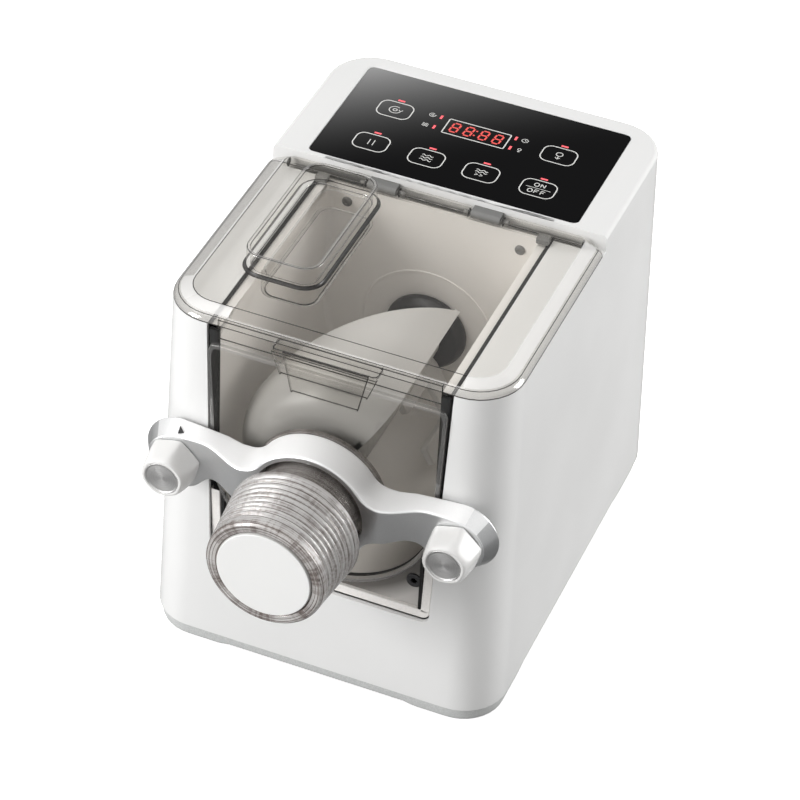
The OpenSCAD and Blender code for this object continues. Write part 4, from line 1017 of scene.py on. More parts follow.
def bar_front_y(x):
    """Front face of the bar: full depth near the ring, eased by a cosine to the thin ends."""
    u = np.clip((np.abs(x) - 42) / 30, 0, 1)
    return BAR_FRONT + (BAR_END - BAR_FRONT) * (1 - np.cos(np.pi * u)) / 2


def even_steps(path, count):
    """The polyline's points at count even steps of its length."""
    path = np.asarray(path, float)
    length = np.concatenate([[0], np.cumsum(np.linalg.norm(np.diff(path, axis=0), axis=1))])
    t = np.linspace(0, length[-1], count)
    return np.column_stack([np.interp(t, length, path[:, k]) for k in range(path.shape[1])])


def bar_outline():
    """Rear outline, clockwise from the ring's top, and point by point the inner line that the front face runs
    to: the bore beside the ring and the fillets, then the arm's centre line."""
    eye = (STUD_X, STUD_Z)
    middle = [(35.38, AXIS_Z - 1.2), (82.0, STUD_Z), (98.0, STUD_Z)]
    upper = eased([(45.1, 173.5), (54, 173.5), (62, 174.2), (70, 175.1), (88.5, 176.55)], 6)
    lower = np.concatenate([arc((59.6, 132.5), BAR_FILLET, 34.8, 104, 20), [(48.5, 144.0)]])

    def ring(start, end, radius):
        return arc((0, AXIS_Z), radius, start, end, 40)

    parts = [(ring(90, 34.93, RING_R), ring(90, 34.93, BORE_R), 40),
             (arc((45.1, 187.5), BAR_FILLET, 214.93, 270, 30), ring(34.93, -2, BORE_R), 26),
             (upper, middle[:2], 40),
             (arc(eye, EYE_R, 93.7, 0, 60), middle[1:], 44),
             (arc(eye, EYE_R, 0, -145.2, 80), middle[:0:-1], 44),
             (lower, middle[1::-1], 40),
             (arc((48.5, 130), BAR_FILLET, 90, 152, 30), ring(-2, -28.2, BORE_R), 26),
             (ring(-28.2, -90, RING_R), ring(-28.2, -90, BORE_R), 40)]
    outer = np.concatenate([even_steps(p, n)[:-1] for p, _, n in parts] + [[(0, AXIS_Z - RING_R)]])
    inner = np.concatenate([even_steps(q, n)[:-1] for _, q, n in parts] + [[(0, AXIS_Z - BORE_R)]])
    return [np.concatenate([half, (half * [-1, 1])[-2:0:-1]]) for half in (outer, inner)]


print("points on the bar's outline:", len(bar_outline()[0]))

# %% Clamp bar
def bar_shape():
    """The front outline is the rear one moved inward by the draft, which grows toward the ends."""
    s = Shape()
    outer, inner = bar_outline()
    tangent = np.roll(outer, -1, axis=0) - np.roll(outer, 1, axis=0)
    inward = np.column_stack([tangent[:, 1], -tangent[:, 0]]) / np.linalg.norm(tangent, axis=1)[:, None]
    u = np.clip((np.abs(outer[:, 0]) - 70) / 36, 0, 1)
    draft = (2.6 + 3.0 * u * u * (3 - 2 * u))[:, None]
    back = BAR_BACK + 2.1 * np.clip((np.abs(outer[:, 0]) - 50) / 10, 0, 1)

    def row(move, lift, spoke=0.0):
        p = outer + inward * move
        p = p + (inner - p) * spoke
        y = bar_front_y(p[:, 0]) + lift if lift is not None else back
        return np.column_stack([p[:, 0], y, p[:, 1]])

    rows = [np.column_stack([inner[:, 0], back, inner[:, 1]]), row(0.5, None), row(0.0, None)]
    rows[-1][:, 1] -= 0.5
    knee = rows[-1].copy()
    knee[:, 1] -= 1.0
    rows += [knee, row(draft - 0.75, 1.9), row(draft - 0.35, 0.75), row(draft, 0.22), row(draft + 0.6, 0.02)]
    rows += [row(draft + 0.6, 0.0, k) for k in (0.04, 0.15, 0.4, 0.7, 1.0)]
    rows = np.array(rows)
    kinds = np.zeros((len(rows) - 1, len(outer)), int)
    # kind 1: painted highlight, the near-white drafted rim
    kinds[2:5, np.abs(outer[:, 0]) < 96] = 1
    # kind 2: painted shade on the outer rim of both ends
    kinds[:5, np.abs(outer[:, 0]) >= 106] = 2
    s.patch(np.concatenate([rows, rows[:, :1]], axis=1), kind=kinds)
    groove = BORE_R + 2.0
    bore = [(BORE_R, BAR_BACK), (BORE_R, -152.5), (groove, -152.5), (groove, -162.5), (BORE_R, -162.5),
            (BORE_R, BAR_FRONT)]
    return s.patch(turned(bore, segments=144))


def bar_mark():
    """Small dark triangle on the left end's upper side: it shows which way up the bar goes."""
    s = Shape()
    tip = [(-89.4, -152.0), (-85.6, -155.3), (-88.6, -157.2)]
    flat = [(x, y, STUD_Z + (EYE_R ** 2 - (x + STUD_X) ** 2) ** 0.5 - 0.237 * (-147.9 - y)) for x, y in tip]
    return s.tube([[(x, y, z - 0.6) for x, y, z in flat], [(x, y, z + 0.1) for x, y, z in flat]])


bar_shape().make("bar", bar_metal, nodes=("clamp_bar",), slot="satin_metal", sharp=50,
                 more=(bar_rim, bar_end))
bar_mark().make("bar_mark", charcoal, slot="satin_metal", sharp=40)

# %% [markdown]
# ## Hand knobs
# A white six-sided body that narrows forward and ends in a round ring, with a spun metal disc let into its
# face. The radius at an angle is a soft minimum of a hexagon's flat and a circle, so the corners are round.

# %% Knobs
def six_sided(angle, r, corner):
    """Radius of a hexagon with apothem r whose corners lie on the circle of radius corner, blended softly."""
    a = (angle - np.radians(15)) % (np.pi / 3) - np.pi / 6
    flat = r / np.cos(a)
    return (flat ** -26.0 + corner ** -26.0) ** (-1 / 26.0)


KNOB_ROWS = [(-158.75, 14.6, 16.4), (-159.2, 15.3, 17.2), (-160.2, 15.6, 17.5), (-166, 15.0, 16.6),
             (-171.5, 14.35, 15.4), (-174.5, 13.9, 14.45), (-176.2, 13.4, 13.7), (-177.1, 12.9, 13.1),
             (-177.45, 12.4, 12.45), (-177.4, 11.5, 11.5), (-177.1, 11.15, 11.15), (-176.4, 11.1, 11.1)]


def knob_shape(x):
    """Rows (y, radius at a flat, radius at a corner) from the bar to the ring round the disc."""
    a = np.radians(np.linspace(0, 360, 97)[:-1])
    loops = []
    for y, flat, corner in KNOB_ROWS:
        r = six_sided(a, flat, corner)
        loops.append(np.column_stack([x + r * np.cos(a), np.full(len(a), y), STUD_Z + r * np.sin(a)]))
    return Shape().tube(loops)


def knob_disc(x):
    """Edge bead, then grooves with flanks of about 20 degrees down to the middle."""
    edge = eased([(11.05, -176.5), (11.05, -177.25), (10.8, -177.45), (10.4, -177.4), (9.9, -177.1)], 0.2, 3)
    r = np.arange(9.6, GROOVE, -GROOVE)
    flutes = np.column_stack([r, -177.0 + 0.055 * (-1.0) ** np.arange(len(r))])
    return Shape().patch(turned(np.concatenate([edge, flutes, [(0.001, -177.0)]]), (x, STUD_Z)))


for side, word, spin in ((-1, "left", left_spin), (1, "right", right_spin)):
    knob_shape(side * STUD_X).make(f"knob_{word}_body", part_white, f"knob_{word}", nodes=(f"knob_{word}",),
                                   slot="white_part", sharp=50)
    knob_disc(side * STUD_X).make(f"knob_{word}_disc", spin, f"knob_{word}", nodes=(f"knob_disc_{word}",),
                                  slot="spun_metal", sharp=50)

# %% [markdown]
# ## Ring nut, end disc and barrel
# The nut is a clear ribbed cone with a thread inside; the ribs and the thread's rings catch the light as many
# fine lines. Its front lip holds the white blanking disc. The barrel's flange lies behind the bar.

# %% Nut
NUT_BACK, NUT_FRONT, NUT_R, NUT_TAPER = -186.0, -230.0, 41.2, 4.6
NUT_BORE, PITCH = 34.4, 4.5
RIBS, RIB_STEP = 9, 3.85
ROUND = 144   # faces round the nut, the disc and the barrel


def nut_radius(y):
    """Outer radius of the cone that the ribs stand on."""
    return NUT_R - NUT_TAPER * (NUT_BACK - y) / (NUT_BACK - NUT_FRONT)


def nut_profile():
    """Outline in (radius, y): ribs on a cone with a small round groove after each, and a threaded bore."""
    pts = [(NUT_R, NUT_BACK), (NUT_R, -188.2)]
    for y in -190.0 - RIB_STEP * np.arange(RIBS):
        r = nut_radius(y)
        pts += [(r, y + 0.5), (r - 1.2, y - 0.5), (r - 1.2, y - 1.2), (r, y - 2.1)]
    pts += [(37.2, -226.5), (36.9, -228.6), (35.3, NUT_FRONT), (30.9, NUT_FRONT), (29.7, -229.2),
            (29.7, -228.4), (NUT_BORE, -228.4)]
    for y in -226.0 + PITCH * np.arange(8):
        pts += [(NUT_BORE, y), (NUT_BORE, y + 1.6), (35.3, y + 2.1), (35.3, y + 3.6)]
    return eased(pts + [(NUT_BORE, -188.4), (NUT_BORE, NUT_BACK)], 0.35, 2, closed=True)


def nut_kinds(line):
    """1 for painted dark lines, which stand for light that the thick plastic bends away: in the ribs' grooves,
    at the lip's outer edge and in thin rings on its front face; 2 for the rest of the lip."""
    r, y = ((line[:-1] + line[1:]) / 2).T
    groove = (r > 34.9) & (r < nut_radius(y) - 1.0) & (y > -226.4)
    lip = (y < -228.2) & (r > 36.1)
    rings = (y < -229.0) & ((np.abs(r - 34.3) < 0.32) | (np.abs(r - 32.5) < 0.22))
    dark = groove | lip | rings | ((y < -228.6) & (r < 30.6))
    return np.where(dark, 1, np.where((y < -227.5) & (np.abs(r - 33.2) > 0.3), 2, 0))


def nut_shape():
    """The profile gets points for the thin painted dark rings on its front face and is then turned about the
    axis.
    """
    line = nut_profile()
    line = np.concatenate([line, line[:1]])
    at = 1 + int(np.argmax((line[:-1, 0] > 34) & (line[1:, 0] < 32) & (line[1:, 1] < -229.5)))
    rings = np.column_stack([[35.0, 34.6, 34.0, 33.4, 32.7, 32.3, 31.8], np.full(7, NUT_FRONT)])
    line = np.concatenate([line[:at], rings, line[at:]])
    return Shape().patch(turned(line, segments=ROUND), kind=nut_kinds(line)[None, :].repeat(ROUND, 0))


nut_shape().make("nut", nut_clear, "ring_nut", nodes=("ring_nut",), slot="clear_plastic", sharp=40,
                 more=(nut_groove, nut_lip))

# %% Disc and barrel
disc_line = [(34.2, -226.2), (34.2, -228.2), (29.4, -228.3), (29.4, -231), (0.001, -231)]
disc_face = Shape().patch(turned(eased(disc_line, (0, 0.3, 0.2, 0.7, 0), 4), segments=ROUND))
disc_face.make("end_disc_face", disc_white, nodes=("end_disc",), slot="white_part", sharp=45)


def barrel_shape():
    """A tube with seven thread rings toward the front and a flange at the back."""
    pts = [(29.8, -145.3), (29.8, -226), (33, -226)]
    for y in -223.0 + PITCH * np.arange(7):
        pts += [(33, y - 0.3), (34.1, y + 0.1), (34.1, y + 1.6), (33, y + 2.0)]
    line = eased(pts + [(33, -150.5), (34.5, -148.6), (42, -148.4), (42, -145.3)], 0.4, 2, closed=True)
    return Shape().patch(turned(np.concatenate([line, line[:1]]), segments=ROUND))


barrel_shape().make("barrel_tube", barrel_clear, nodes=("barrel",), slot="clear_plastic", sharp=40)

# %% [markdown]
# ## Kneading screw and hub
# The auger presses the dough forward through the barrel: a core with one helical flight, the curve
# (r cos 2 pi n t, y, r sin 2 pi n t) swept over the radius. Behind it a charcoal hub drives the paddle.

# %% Auger and hub
FLIGHT_TURNS, FLIGHT_START, FLIGHT_LENGTH, CORE_R, FLIGHT_DEPTH = 2.6, -138.5, 83.5, 11.0, 18.0


def auger_shape():
    """The flight's section, which runs out to nothing at both ends, stepped along the helix; and the core."""
    t = np.linspace(0, 1, 181)
    y = FLIGHT_START - FLIGHT_LENGTH * t
    a = np.radians(-5.0) - 2 * np.pi * FLIGHT_TURNS * t
    rows = []
    for k, ti in enumerate(t):
        out = CORE_R + FLIGHT_DEPTH * min(1.0, ti / 0.02, (1 - ti) / 0.02)
        half = [(CORE_R, 2.6), (16.0, 1.9), (24.0, 1.4), (out - 0.7, 1.3), (out, 0.5)]
        edge = np.array([(min(r, out), w) for r, w in half + [(r, -w) for r, w in half[::-1]]])
        rows.append(np.column_stack([edge[:, 0] * np.cos(a[k]), y[k] + edge[:, 1],
                                     AXIS_Z + edge[:, 0] * np.sin(a[k])]))
    core = [(0.001, -138.0), (12.0, -138.0), (12.0, -219.0), (9.0, -222.8), (0.001, -223.0)]
    return Shape().tube(rows).patch(turned(eased(core, (0, 0.5, 2, 2, 0), 4), segments=48))


auger_shape().make("auger_screw", part_white, "drive", nodes=("auger",), slot="white_part", sharp=40)
hub_line = [(13.2, 6.5), (24.0, 10.0), (26.9, 15.0), (27.0, 18.0), (25.5, 18.6), (0.001, 18.8)]
hub = Shape().patch(turned(eased(hub_line, (0, 1.5, 1.5, 0.4, 0.4, 0), 4)))
hub.make("hub_cone", charcoal, "drive", nodes=("drive_hub",), slot="dark_plastic", sharp=40)

# %% [markdown]
# ## Paddle
# The white paddle's wing is a sector of a round drum with a big round front edge, hollow inside and cut on
# the slant at its rear, so that it ploughs the dough forward. A flat web closes its straight edge, and a flat
# frame-shaped scraper reaches the back wall. The wing's skin is the profile (radius, y) swept from 57 to 200
# degrees; at every angle the profile ends where it meets the slanting plane.

# %% Paddle's wing
WING_R, WING_FRONT, WING_EDGE, WING_WALL = 64.5, -136.5, 24.0, 3.2
WING_FROM, WING_TO = 57.0, 200.0                        # degrees


def slant(x, z):
    """Height in y of the plane that cuts the wing's rear."""
    return -64.8 + 0.948 * x + 0.2 * (z - AXIS_Z)


def wing_profile(inset):
    """(radius, y) from the sleeve over the front face and the round edge to far behind the cut."""
    k, r, y0 = WING_EDGE - inset, WING_R - inset, WING_FRONT + inset * 1.25
    face = np.column_stack([np.linspace(9, r - k, 8)[:-1], np.full(7, y0)])
    edge = arc((r - k, y0 + k), k, -90, 0, 22)
    wall = np.column_stack([np.full(60, r), np.linspace(y0 + k, -12, 61)[1:]])
    return even_steps(np.concatenate([face, edge, wall]), 900)


def cut_profile(inset, angle, count=72):
    """The profile at one angle in degrees, up to the slanting plane, as count even points in space."""
    p = wing_profile(inset)
    c, s = np.cos(np.radians(angle)), np.sin(np.radians(angle))
    over = p[:, 1] - slant(p[:, 0] * c, AXIS_Z + p[:, 0] * s)
    stop = int(np.argmax(over > 0)) if (over > 0).any() else len(p) - 1
    q = even_steps(p[:stop + 1], count)
    return np.column_stack([q[:, 0] * c, q[:, 1], AXIS_Z + q[:, 0] * s])


def add_wing(s):
    """The hollow wing, with its two straight ends closed."""
    sweep = np.linspace(WING_FROM, WING_TO, 110)
    rows = [np.concatenate([cut_profile(0, a), cut_profile(WING_WALL, a)[::-1]]) for a in sweep]
    s.tube(rows, caps=False)
    for row in (rows[0], rows[-1]):
        s.patch([row[:len(row) // 2], row[len(row) // 2:][::-1]])


def add_web(s):
    """Flat web from the sleeve to the wing's skin along its first straight end."""
    c, n = np.cos(np.radians(WING_FROM)), np.sin(np.radians(WING_FROM))
    off = np.array([-n, 0, c])
    flat, centre = WING_R - WING_EDGE, WING_FRONT + WING_EDGE
    web = []
    for r in np.linspace(11, WING_R - 0.4, 60):
        front = WING_FRONT if r < flat else centre - np.sqrt(WING_EDGE ** 2 - (r - flat) ** 2)
        y = np.linspace(front, slant(r * c, AXIS_Z + r * n), 24)
        line = np.column_stack([np.full(24, r * c), y, np.full(24, AXIS_Z + r * n)])
        web.append(np.concatenate([line + off * 0.02, (line + off * WING_WALL)[::-1]]))
    s.tube(web)


print("wing's profile, mm long:", round(float(np.ptp(wing_profile(0)[:, 1])), 1))

# %% Paddle
SCRAPER_ANGLE = np.radians(-60)
SCRAPER_BARS = ((9, 62.5, -7.5, 9), (48.5, 62.5, -43, -7), (9, 23, -43, -7))   # radii, then y


def add_scraper(s):
    """Three flat bars in the plane through the axis at the scraper's angle."""
    c, n = np.cos(SCRAPER_ANGLE), np.sin(SCRAPER_ANGLE)
    for r0, r1, y0, y1 in SCRAPER_BARS:
        loops = []
        for h, g in ((-2.5, 0.6), (-1.9, 0.0), (1.9, 0.0), (2.5, 0.6)):
            r, y = box_loop(r0 + g, r1 - g, y0 + g, y1 - g, 2.5, 5, (4, 4)).T
            loops.append(np.column_stack([r * c - h * n, y, AXIS_Z + r * n + h * c]))
        s.tube(loops)


def paddle_with_painted_shade():
    """Satin white, painted a little darker toward the wing's thick front: painted shade."""
    f = gloss_white("paddle_white", (0.62, 0.61, 0.595), 0.3)
    _, y, _ = f.place()
    return f.set({"Base Color": f.mix(y.spread(-130.0, -70.0), (0.5, 0.492, 0.478), (0.68, 0.67, 0.655))})


paddle = Shape()
add_wing(paddle)
add_web(paddle)
sleeve = eased([(6.5, WING_FRONT), (13, WING_FRONT), (13, 10), (6.5, 10)], 0.8, closed=True)
paddle.patch(turned(np.concatenate([sleeve, sleeve[:1]]), segments=64))
add_scraper(paddle)
paddle.make("paddle_wing", paddle_with_painted_shade(), "drive", nodes=("paddle",), slot="white_part", sharp=35)

# %% [markdown]
# ## Front of the chamber
# A black rubber seal lies round the trough's open end, and the clear cover is clamped on it. Below the cover,
# in the slot's lower corners, a warm frame with a shallow pocket holds a dark round bumper at each side, and
# a black strip stands at the pocket's outer wall. A black sheet behind the thin gap round the frame paints the
# shade in that gap.

# %% Seal
SEAL_R, SEAL_Z = 69.6, np.linspace(247.0, AXIS_Z, 24)[:-1]


def seal_path(x, r):
    """Down the right side at x, round a half circle of radius r and up the left side."""
    side = np.column_stack([x, SEAL_Z])
    return np.concatenate([side, arc((0, AXIS_Z), r, 0, -180, 80), (side * [-1, 1])[::-1]])


def seal_shape():
    """U-shaped band whose outer line follows the slot and then a circle, and whose inner line is the tub's.
    The lower part of its front face is the second kind, a lighter grey: a painted highlight of the clear
    cover's edge."""
    section = [(-1, -139.55), (-1, -141.6), (-0.8, -142.15), (0.8, -142.15), (1, -141.6), (1, -139.55)]
    outer = seal_path(slot_half(SEAL_Z) - 1.6, 72.9)
    inner = seal_path(np.full(len(SEAL_Z), SEAL_R), SEAL_R)
    rows = []
    for o, i in zip(outer, inner):
        mid, half = (o + i) / 2, (o - i) / 2
        rows.append([(mid[0] + half[0] * k, y, mid[1] + half[1] * k) for k, y in section])
    kinds = np.zeros((len(rows) - 1, len(section)), int)
    # painted highlight along the lower part of the front face
    kinds[25:-25, 2] = 1
    return Shape().tube(rows, kind=kinds)


seal_shape().make("seal_band", rubber_black, nodes=("chamber_seal",), slot="black_rubber", sharp=50,
                  more=(seal_lit,))

# %% Cover
COVER_BACK, COVER_FRONT, COVER_HOLE = -142.25, -145.2, 29.8
COVER_HALF, COVER_LOW, COVER_TOP = 72.74, 72.7, 82.6   # from the axis to its sides, lower arc and top


def cover_shape():
    """Clear plate with a round hole: at every angle about the axis the outer line is the nearest of the
    slot's side, the lower circle and the top edge."""
    a = np.radians(np.linspace(0, 360, 181)[:-1])
    c, n = np.cos(a), np.sin(a)
    slope = np.where(np.abs(c) < 1e-6, 1e-6, c - SLOT_FLARE * np.abs(n) * np.sign(c))
    side = np.abs(COVER_HALF / slope)
    top = np.where(n > 0.05, COVER_TOP / np.maximum(n, 0.05), 999)
    rim = np.where(n < 0, COVER_LOW, (side ** -40.0 + top ** -40.0) ** (-1 / 40.0))
    loops = [np.column_stack([r * c, np.full(180, y), AXIS_Z + r * n]) for y, r in
             ((COVER_BACK, rim), (COVER_FRONT + 0.5, rim), (COVER_FRONT, rim - 0.5), (COVER_FRONT, rim - 2.9),
              (COVER_FRONT, rim * 0.6 + 12), (COVER_FRONT, COVER_HOLE + 0.5), (COVER_FRONT + 0.5, COVER_HOLE),
              (COVER_BACK, COVER_HOLE))]
    # painted lines of bent light: a grey bend round the rim and at the hole's front edge, a dark line on the
    # hole's wall
    bands = [BEND, BEND, BEND, CLEAR, CLEAR, BEND, EDGE, CLEAR]
    return Shape().tube(loops + loops[:1], caps=False, kind=bands)


cover_shape().make("cover_plate", cover_clear, nodes=("front_cover",), slot="clear_plastic", sharp=50,
                   more=(clear_bend, clear_edge))

# %% Recess
POCKET_FLOOR = -141.6


def recess_loop(gap, low, y):
    """Path along the slot's edge, gap mm inside it, from the right side at z 126 round the bottom to the
    left. Beyond the slot's own corner radius it has a small corner above the height low instead."""
    z = np.linspace(126, SLOT_LOW + 0.01, 8)
    r = max(SLOT_R - gap, 0.6)
    centre = (SLOT_HALF - SLOT_R, SLOT_LOW) if gap < SLOT_R else (slot_half(80) - gap - r, low + r)
    path = np.concatenate([np.column_stack([slot_half(z) - gap, z]), arc(centre, r, 0, -90, 8)])
    return facing_front(mirrored(path), y)


def trim_shape():
    """Frame over the slot's edge, and the pocket's floor at each side as far as the cover's lower circle."""
    s = Shape()
    s.patch([recess_loop(*row) for row in
             ((0.75, 0, -139.6), (0.75, 0, -143.6), (1.15, 0, -144.0), (6.1, 80.0, -144.0),
              (6.5, 80.4, -143.6), (6.5, 80.4, POCKET_FLOOR))])
    z = np.linspace(80.2, 123.0, 20)
    near = np.sqrt(np.maximum(73.3 ** 2 - (AXIS_Z - z) ** 2, 0))
    for side in (-1, 1):
        s.patch([[(side * x, POCKET_FLOOR, height) for x in np.linspace(start, 66.6, 8)]
                 for height, start in zip(z, near)], kind=1)
    return s


def shaded_pocket():
    """The pocket's floor: warm satin, painted darker near the axis, where the clear flange's thick edge lies
    over it: painted shade.
    """
    f = grained("recess_shade", (0.62, 0.6, 0.575), 0.5, 700.0, 0.00002, 0.05)
    x, _, z = f.place()
    # painted shade: dark inside about 78 mm from the axis, lighter beyond
    near = ((x * x + (z - AXIS_Z) ** 2.0) ** 0.5).spread(78.0, 89.0)
    return f.set({"Base Color": f.mix(near, (0.13, 0.12, 0.11), (0.5, 0.48, 0.46))})


trim_shape().make("recess_frame", tub_warm, nodes=("recess_trim",), slot="warm_tub", sharp=35,
                  more=(shaded_pocket(),))

# %% Strips, bumpers and screws
def strips_shape():
    """Black strips: one at the pocket's outer wall and one along each side of the mouth, and a black sheet
    behind the gap round the frame, which paints the shade in that gap."""
    s = Shape()
    for side in (-1, 1):
        x0, x1 = sorted((side * 63.9, side * 65.9))
        s.tube([facing_front(box_loop(x0 + g, x1 - g, 80.5 + g, 124.5 - g, 0.8, 4, (2, 2)), y)
                for y, g in ((-141.0, 0.0), (-143.9, 0.0), (-144.2, 0.3))])
        x0, x1 = sorted((side * 74.9, side * 77.2))
        s.tube([facing_front(box_loop(x0, x1, 248.9, 250.2, 0.4, 3, (2, 2)), y) for y in (-139.4, 22.4)])
    # painted shade: a black sheet behind the thin gap round the frame
    s.patch([recess_loop(0.02, 0, -140.4), recess_loop(1.4, 0, -140.4)])
    return s


strips_shape().make("black_strips", rubber_black, slot="black_rubber", sharp=40)


def bumper_shape():
    """Two round bumpers, each with a hole in its middle."""
    line = eased([(2.0, POCKET_FLOOR), (2.0, -142.9), (5.0, -143.0), (5.0, -139.6)], (0, 0.3, 0.8, 0), 4)
    s = Shape()
    for x in (-60, 60):
        s.patch(turned(line, (x, 101), 48))
        s.patch(turned([(2.0, POCKET_FLOOR), (0.001, POCKET_FLOOR)], (x, 101), 48))
    return s


def wall_screw_shape():
    """Two pan-head screws with a round recess, in the chamber's back wall."""
    line = [(3.3, 19.0), (3.3, 18.0), (2.4, 17.15), (1.2, 17.05), (0.7, 17.9), (0.001, 17.9)]
    line = eased(line, (0, 0.4, 0.5, 0.1, 0.1, 0), 3)
    return Shape().patch(turned(line, (-57, 237), 40)).patch(turned(line, (57, 237), 40))


bumper_shape().make("bumper_pads", charcoal, nodes=("bumpers",), slot="dark_plastic", sharp=40)
wall_screw_shape().make("wall_screw_heads", lug_grey, nodes=("wall_screws",), slot="dark_plastic")

# %% [markdown]
# ## Control panel
# A black glass slab lies in the deck's pocket. Its print is white: six rounded key outlines with pictograms,
# the display's frame and four small symbols. A red lamp shines behind each key and beside each symbol, and
# the four digits are red. Print and lamps are ribbons of constant width along strokes, just above the glass.

# %% Glass slab and strokes
GLASS_TOP = 260.2


def glass_shape():
    """Slab with polished edges: each row is a height and how far its outline lies inside the slab's."""
    rows = ((258.4, 0.3), (258.7, 0.0), (259.8, 0.0), (260.1, 0.12), (GLASS_TOP, 0.45))
    return Shape().tube([at_height(box_loop(-GLASS_X + g, GLASS_X - g, GLASS_Y0 + g, GLASS_Y1 - g,
                                            GLASS_R - g, 8, (8, 6)), z) for z, g in rows])


def panel_glass():
    """Polished black glass: deep black in front and painted greyer toward its far left corner, a painted
    reflection, with faint smears in the gloss."""
    f = Finish("panel_glass", (0.004, 0.004, 0.005), 0.05, specular_ior_level=0.03)
    x, y, _ = f.place()
    smear = f.noise(f.spot(), 30.0, 4.0, 0.6)
    painted_reflection = (y - 0.75 * x).spread(45.0, 195.0)
    f.set({"Base Color": f.mix(painted_reflection * painted_reflection * painted_reflection, (0.0015, 0.0015, 0.002), (0.36, 0.36, 0.36)),
           "Roughness": smear.spread(0.3, 0.7, 0.03, 0.09)})
    return f


glass_shape().make("glass_slab", panel_glass(), nodes=("control_glass",), slot="black_glass", sharp=30)


def ribbon(s, path, width, closed=False, z=GLASS_TOP + 0.04):
    """Flat stroke of constant width along a path of (x, y)."""
    path = np.asarray(path, float)
    if closed:
        path = np.concatenate([path, path[:1]])
    seam = np.concatenate([path[-2:-1], path, path[1:2]]) if closed else path
    left, right = (pushed(seam, k * width / 2, closed=False) for k in (1, -1))
    if closed:
        left, right = left[1:-1], right[1:-1]
    s.patch([at_height(left, z), at_height(right, z)])


def strokes(s, at, size, lines, width=0.55, lean=0.0):
    """Draws polylines given in a unit square about the point at; lean shears them to the right."""
    for line in lines:
        p = (np.asarray(line, float) - 0.5) * size
        p[:, 0] += lean * p[:, 1]
        ribbon(s, p + at, width)


# %% Pictograms and letters
KEYS = {"mix": (-56, 91), "pause": (-56, 52.5), "wave": (-19, 52), "quick": (17, 52), "power": (54.5, 52),
        "press": (54, 89.6)}
TICKS = {"mix": (-26.7, 96.2), "wave": (-27.1, 84.5), "clock": (23.6, 95.2), "press": (23.7, 84.3)}


def wave(y):
    t = np.linspace(0, 1, 24)
    return np.column_stack([t, y + 0.09 * np.sin(t * 4 * np.pi)])


def unit_arc(r, start, end):
    return arc((0.5, 0.5), r, start, end, 24)


SIGNS = {
    "mix": [unit_arc(0.5, 60, 350), [(0.80, 0.62), (0.99, 0.42), (1.14, 0.66)], unit_arc(0.17, 0, 360)],
    "pause": [[(0.3, 0.1), (0.3, 0.9)], [(0.7, 0.1), (0.7, 0.9)]],
    "wave": [wave(0.15), wave(0.5), wave(0.85)],
    "quick": [wave(0.85), wave(0.55), [(0.1, 0.0), (0.35, 0.15), (0.1, 0.3)],
              [(0.5, 0.0), (0.75, 0.15), (0.5, 0.3)]],
    "press": [unit_arc(0.28, 0, 360) + [0, 0.2], [(0.5, 0.42), (0.5, -0.05)],
              [(0.3, 0.17), (0.5, -0.05), (0.7, 0.17)]],
    "clock": [unit_arc(0.5, 0, 360), [(0.5, 0.85), (0.5, 0.5), (0.75, 0.4)]],
}
LETTERS = {
    "O": [unit_arc(0.5, 0, 360)],
    "N": [[(0.08, 0), (0.08, 1)], [(0.08, 1), (0.92, 0)], [(0.92, 0), (0.92, 1)]],
    "F": [[(0.1, 0), (0.1, 1)], [(0.1, 1), (0.9, 1)], [(0.1, 0.52), (0.75, 0.52)]],
}
SEGMENTS = [[(0.1, 1), (0.9, 1)], [(0.1, 0.5), (0.9, 0.5)], [(0.1, 0), (0.9, 0)], [(0, 0.93), (0, 0.55)],
            [(1, 0.93), (1, 0.55)], [(0, 0.45), (0, 0.07)], [(1, 0.45), (1, 0.07)]]
print("keys:", len(KEYS), "and small symbols:", len(TICKS))

# %% Print and lamps
DIGITS_Y, LEAN = 89.2, 0.08


def panel_print():
    """White lines: keys with their pictograms or words, the display's frame and the small symbols."""
    s = Shape()
    for sign, (x, y) in KEYS.items():
        ribbon(s, box_loop(x - 11, x + 11, y - 8.2, y + 8.2, 5.2, 9, (2, 2)), 0.75, closed=True)
        if sign == "power":
            ribbon(s, [(x - 8, y), (x + 8, y)], 0.4)
            for word, dy in (("ON", 3.5), ("OFF", -3.5)):
                for k, letter in enumerate(word):
                    spot = (x + (k - (len(word) - 1) / 2) * 4.1, y + dy)
                    strokes(s, spot, (3.0, 3.4), LETTERS[letter], 0.62)
        else:
            strokes(s, (x, y), (7.6, 7.0), SIGNS[sign], 0.6)
    ribbon(s, box_loop(-21, 20, 81.4, 97.0, 0.6, 3, (2, 2)), 0.8, closed=True)
    for sign, (x, y) in TICKS.items():
        strokes(s, (x + np.sign(x) * 6.0, y), (4.0, 3.6), SIGNS[sign], 0.45)
    return s


def digit_shapes():
    """Four leaning digits with all seven bars lit, and the colon between them."""
    s = Shape()
    for x in (-14.8, -5.6, 4.4, 13.6):
        strokes(s, (x, DIGITS_Y), (4.6, 9.4), SEGMENTS, 1.15, lean=LEAN)
    for dy in (-2.4, 2.4):
        ribbon(s, [(-1.2 + dy * LEAN, DIGITS_Y + dy + half) for half in (-0.6, 0.6)], 1.2)
    return s


def lamp_shapes():
    """A short bar behind each key and an upright one beside each small symbol."""
    s = Shape()
    for x, y in KEYS.values():
        ribbon(s, [(x - 2.2, y + 10.6), (x + 2.4, y + 10.6)], 1.5)
    for x, y in TICKS.values():
        ribbon(s, [(x, y - 1.9), (x, y + 1.9)], 1.5)
    return s


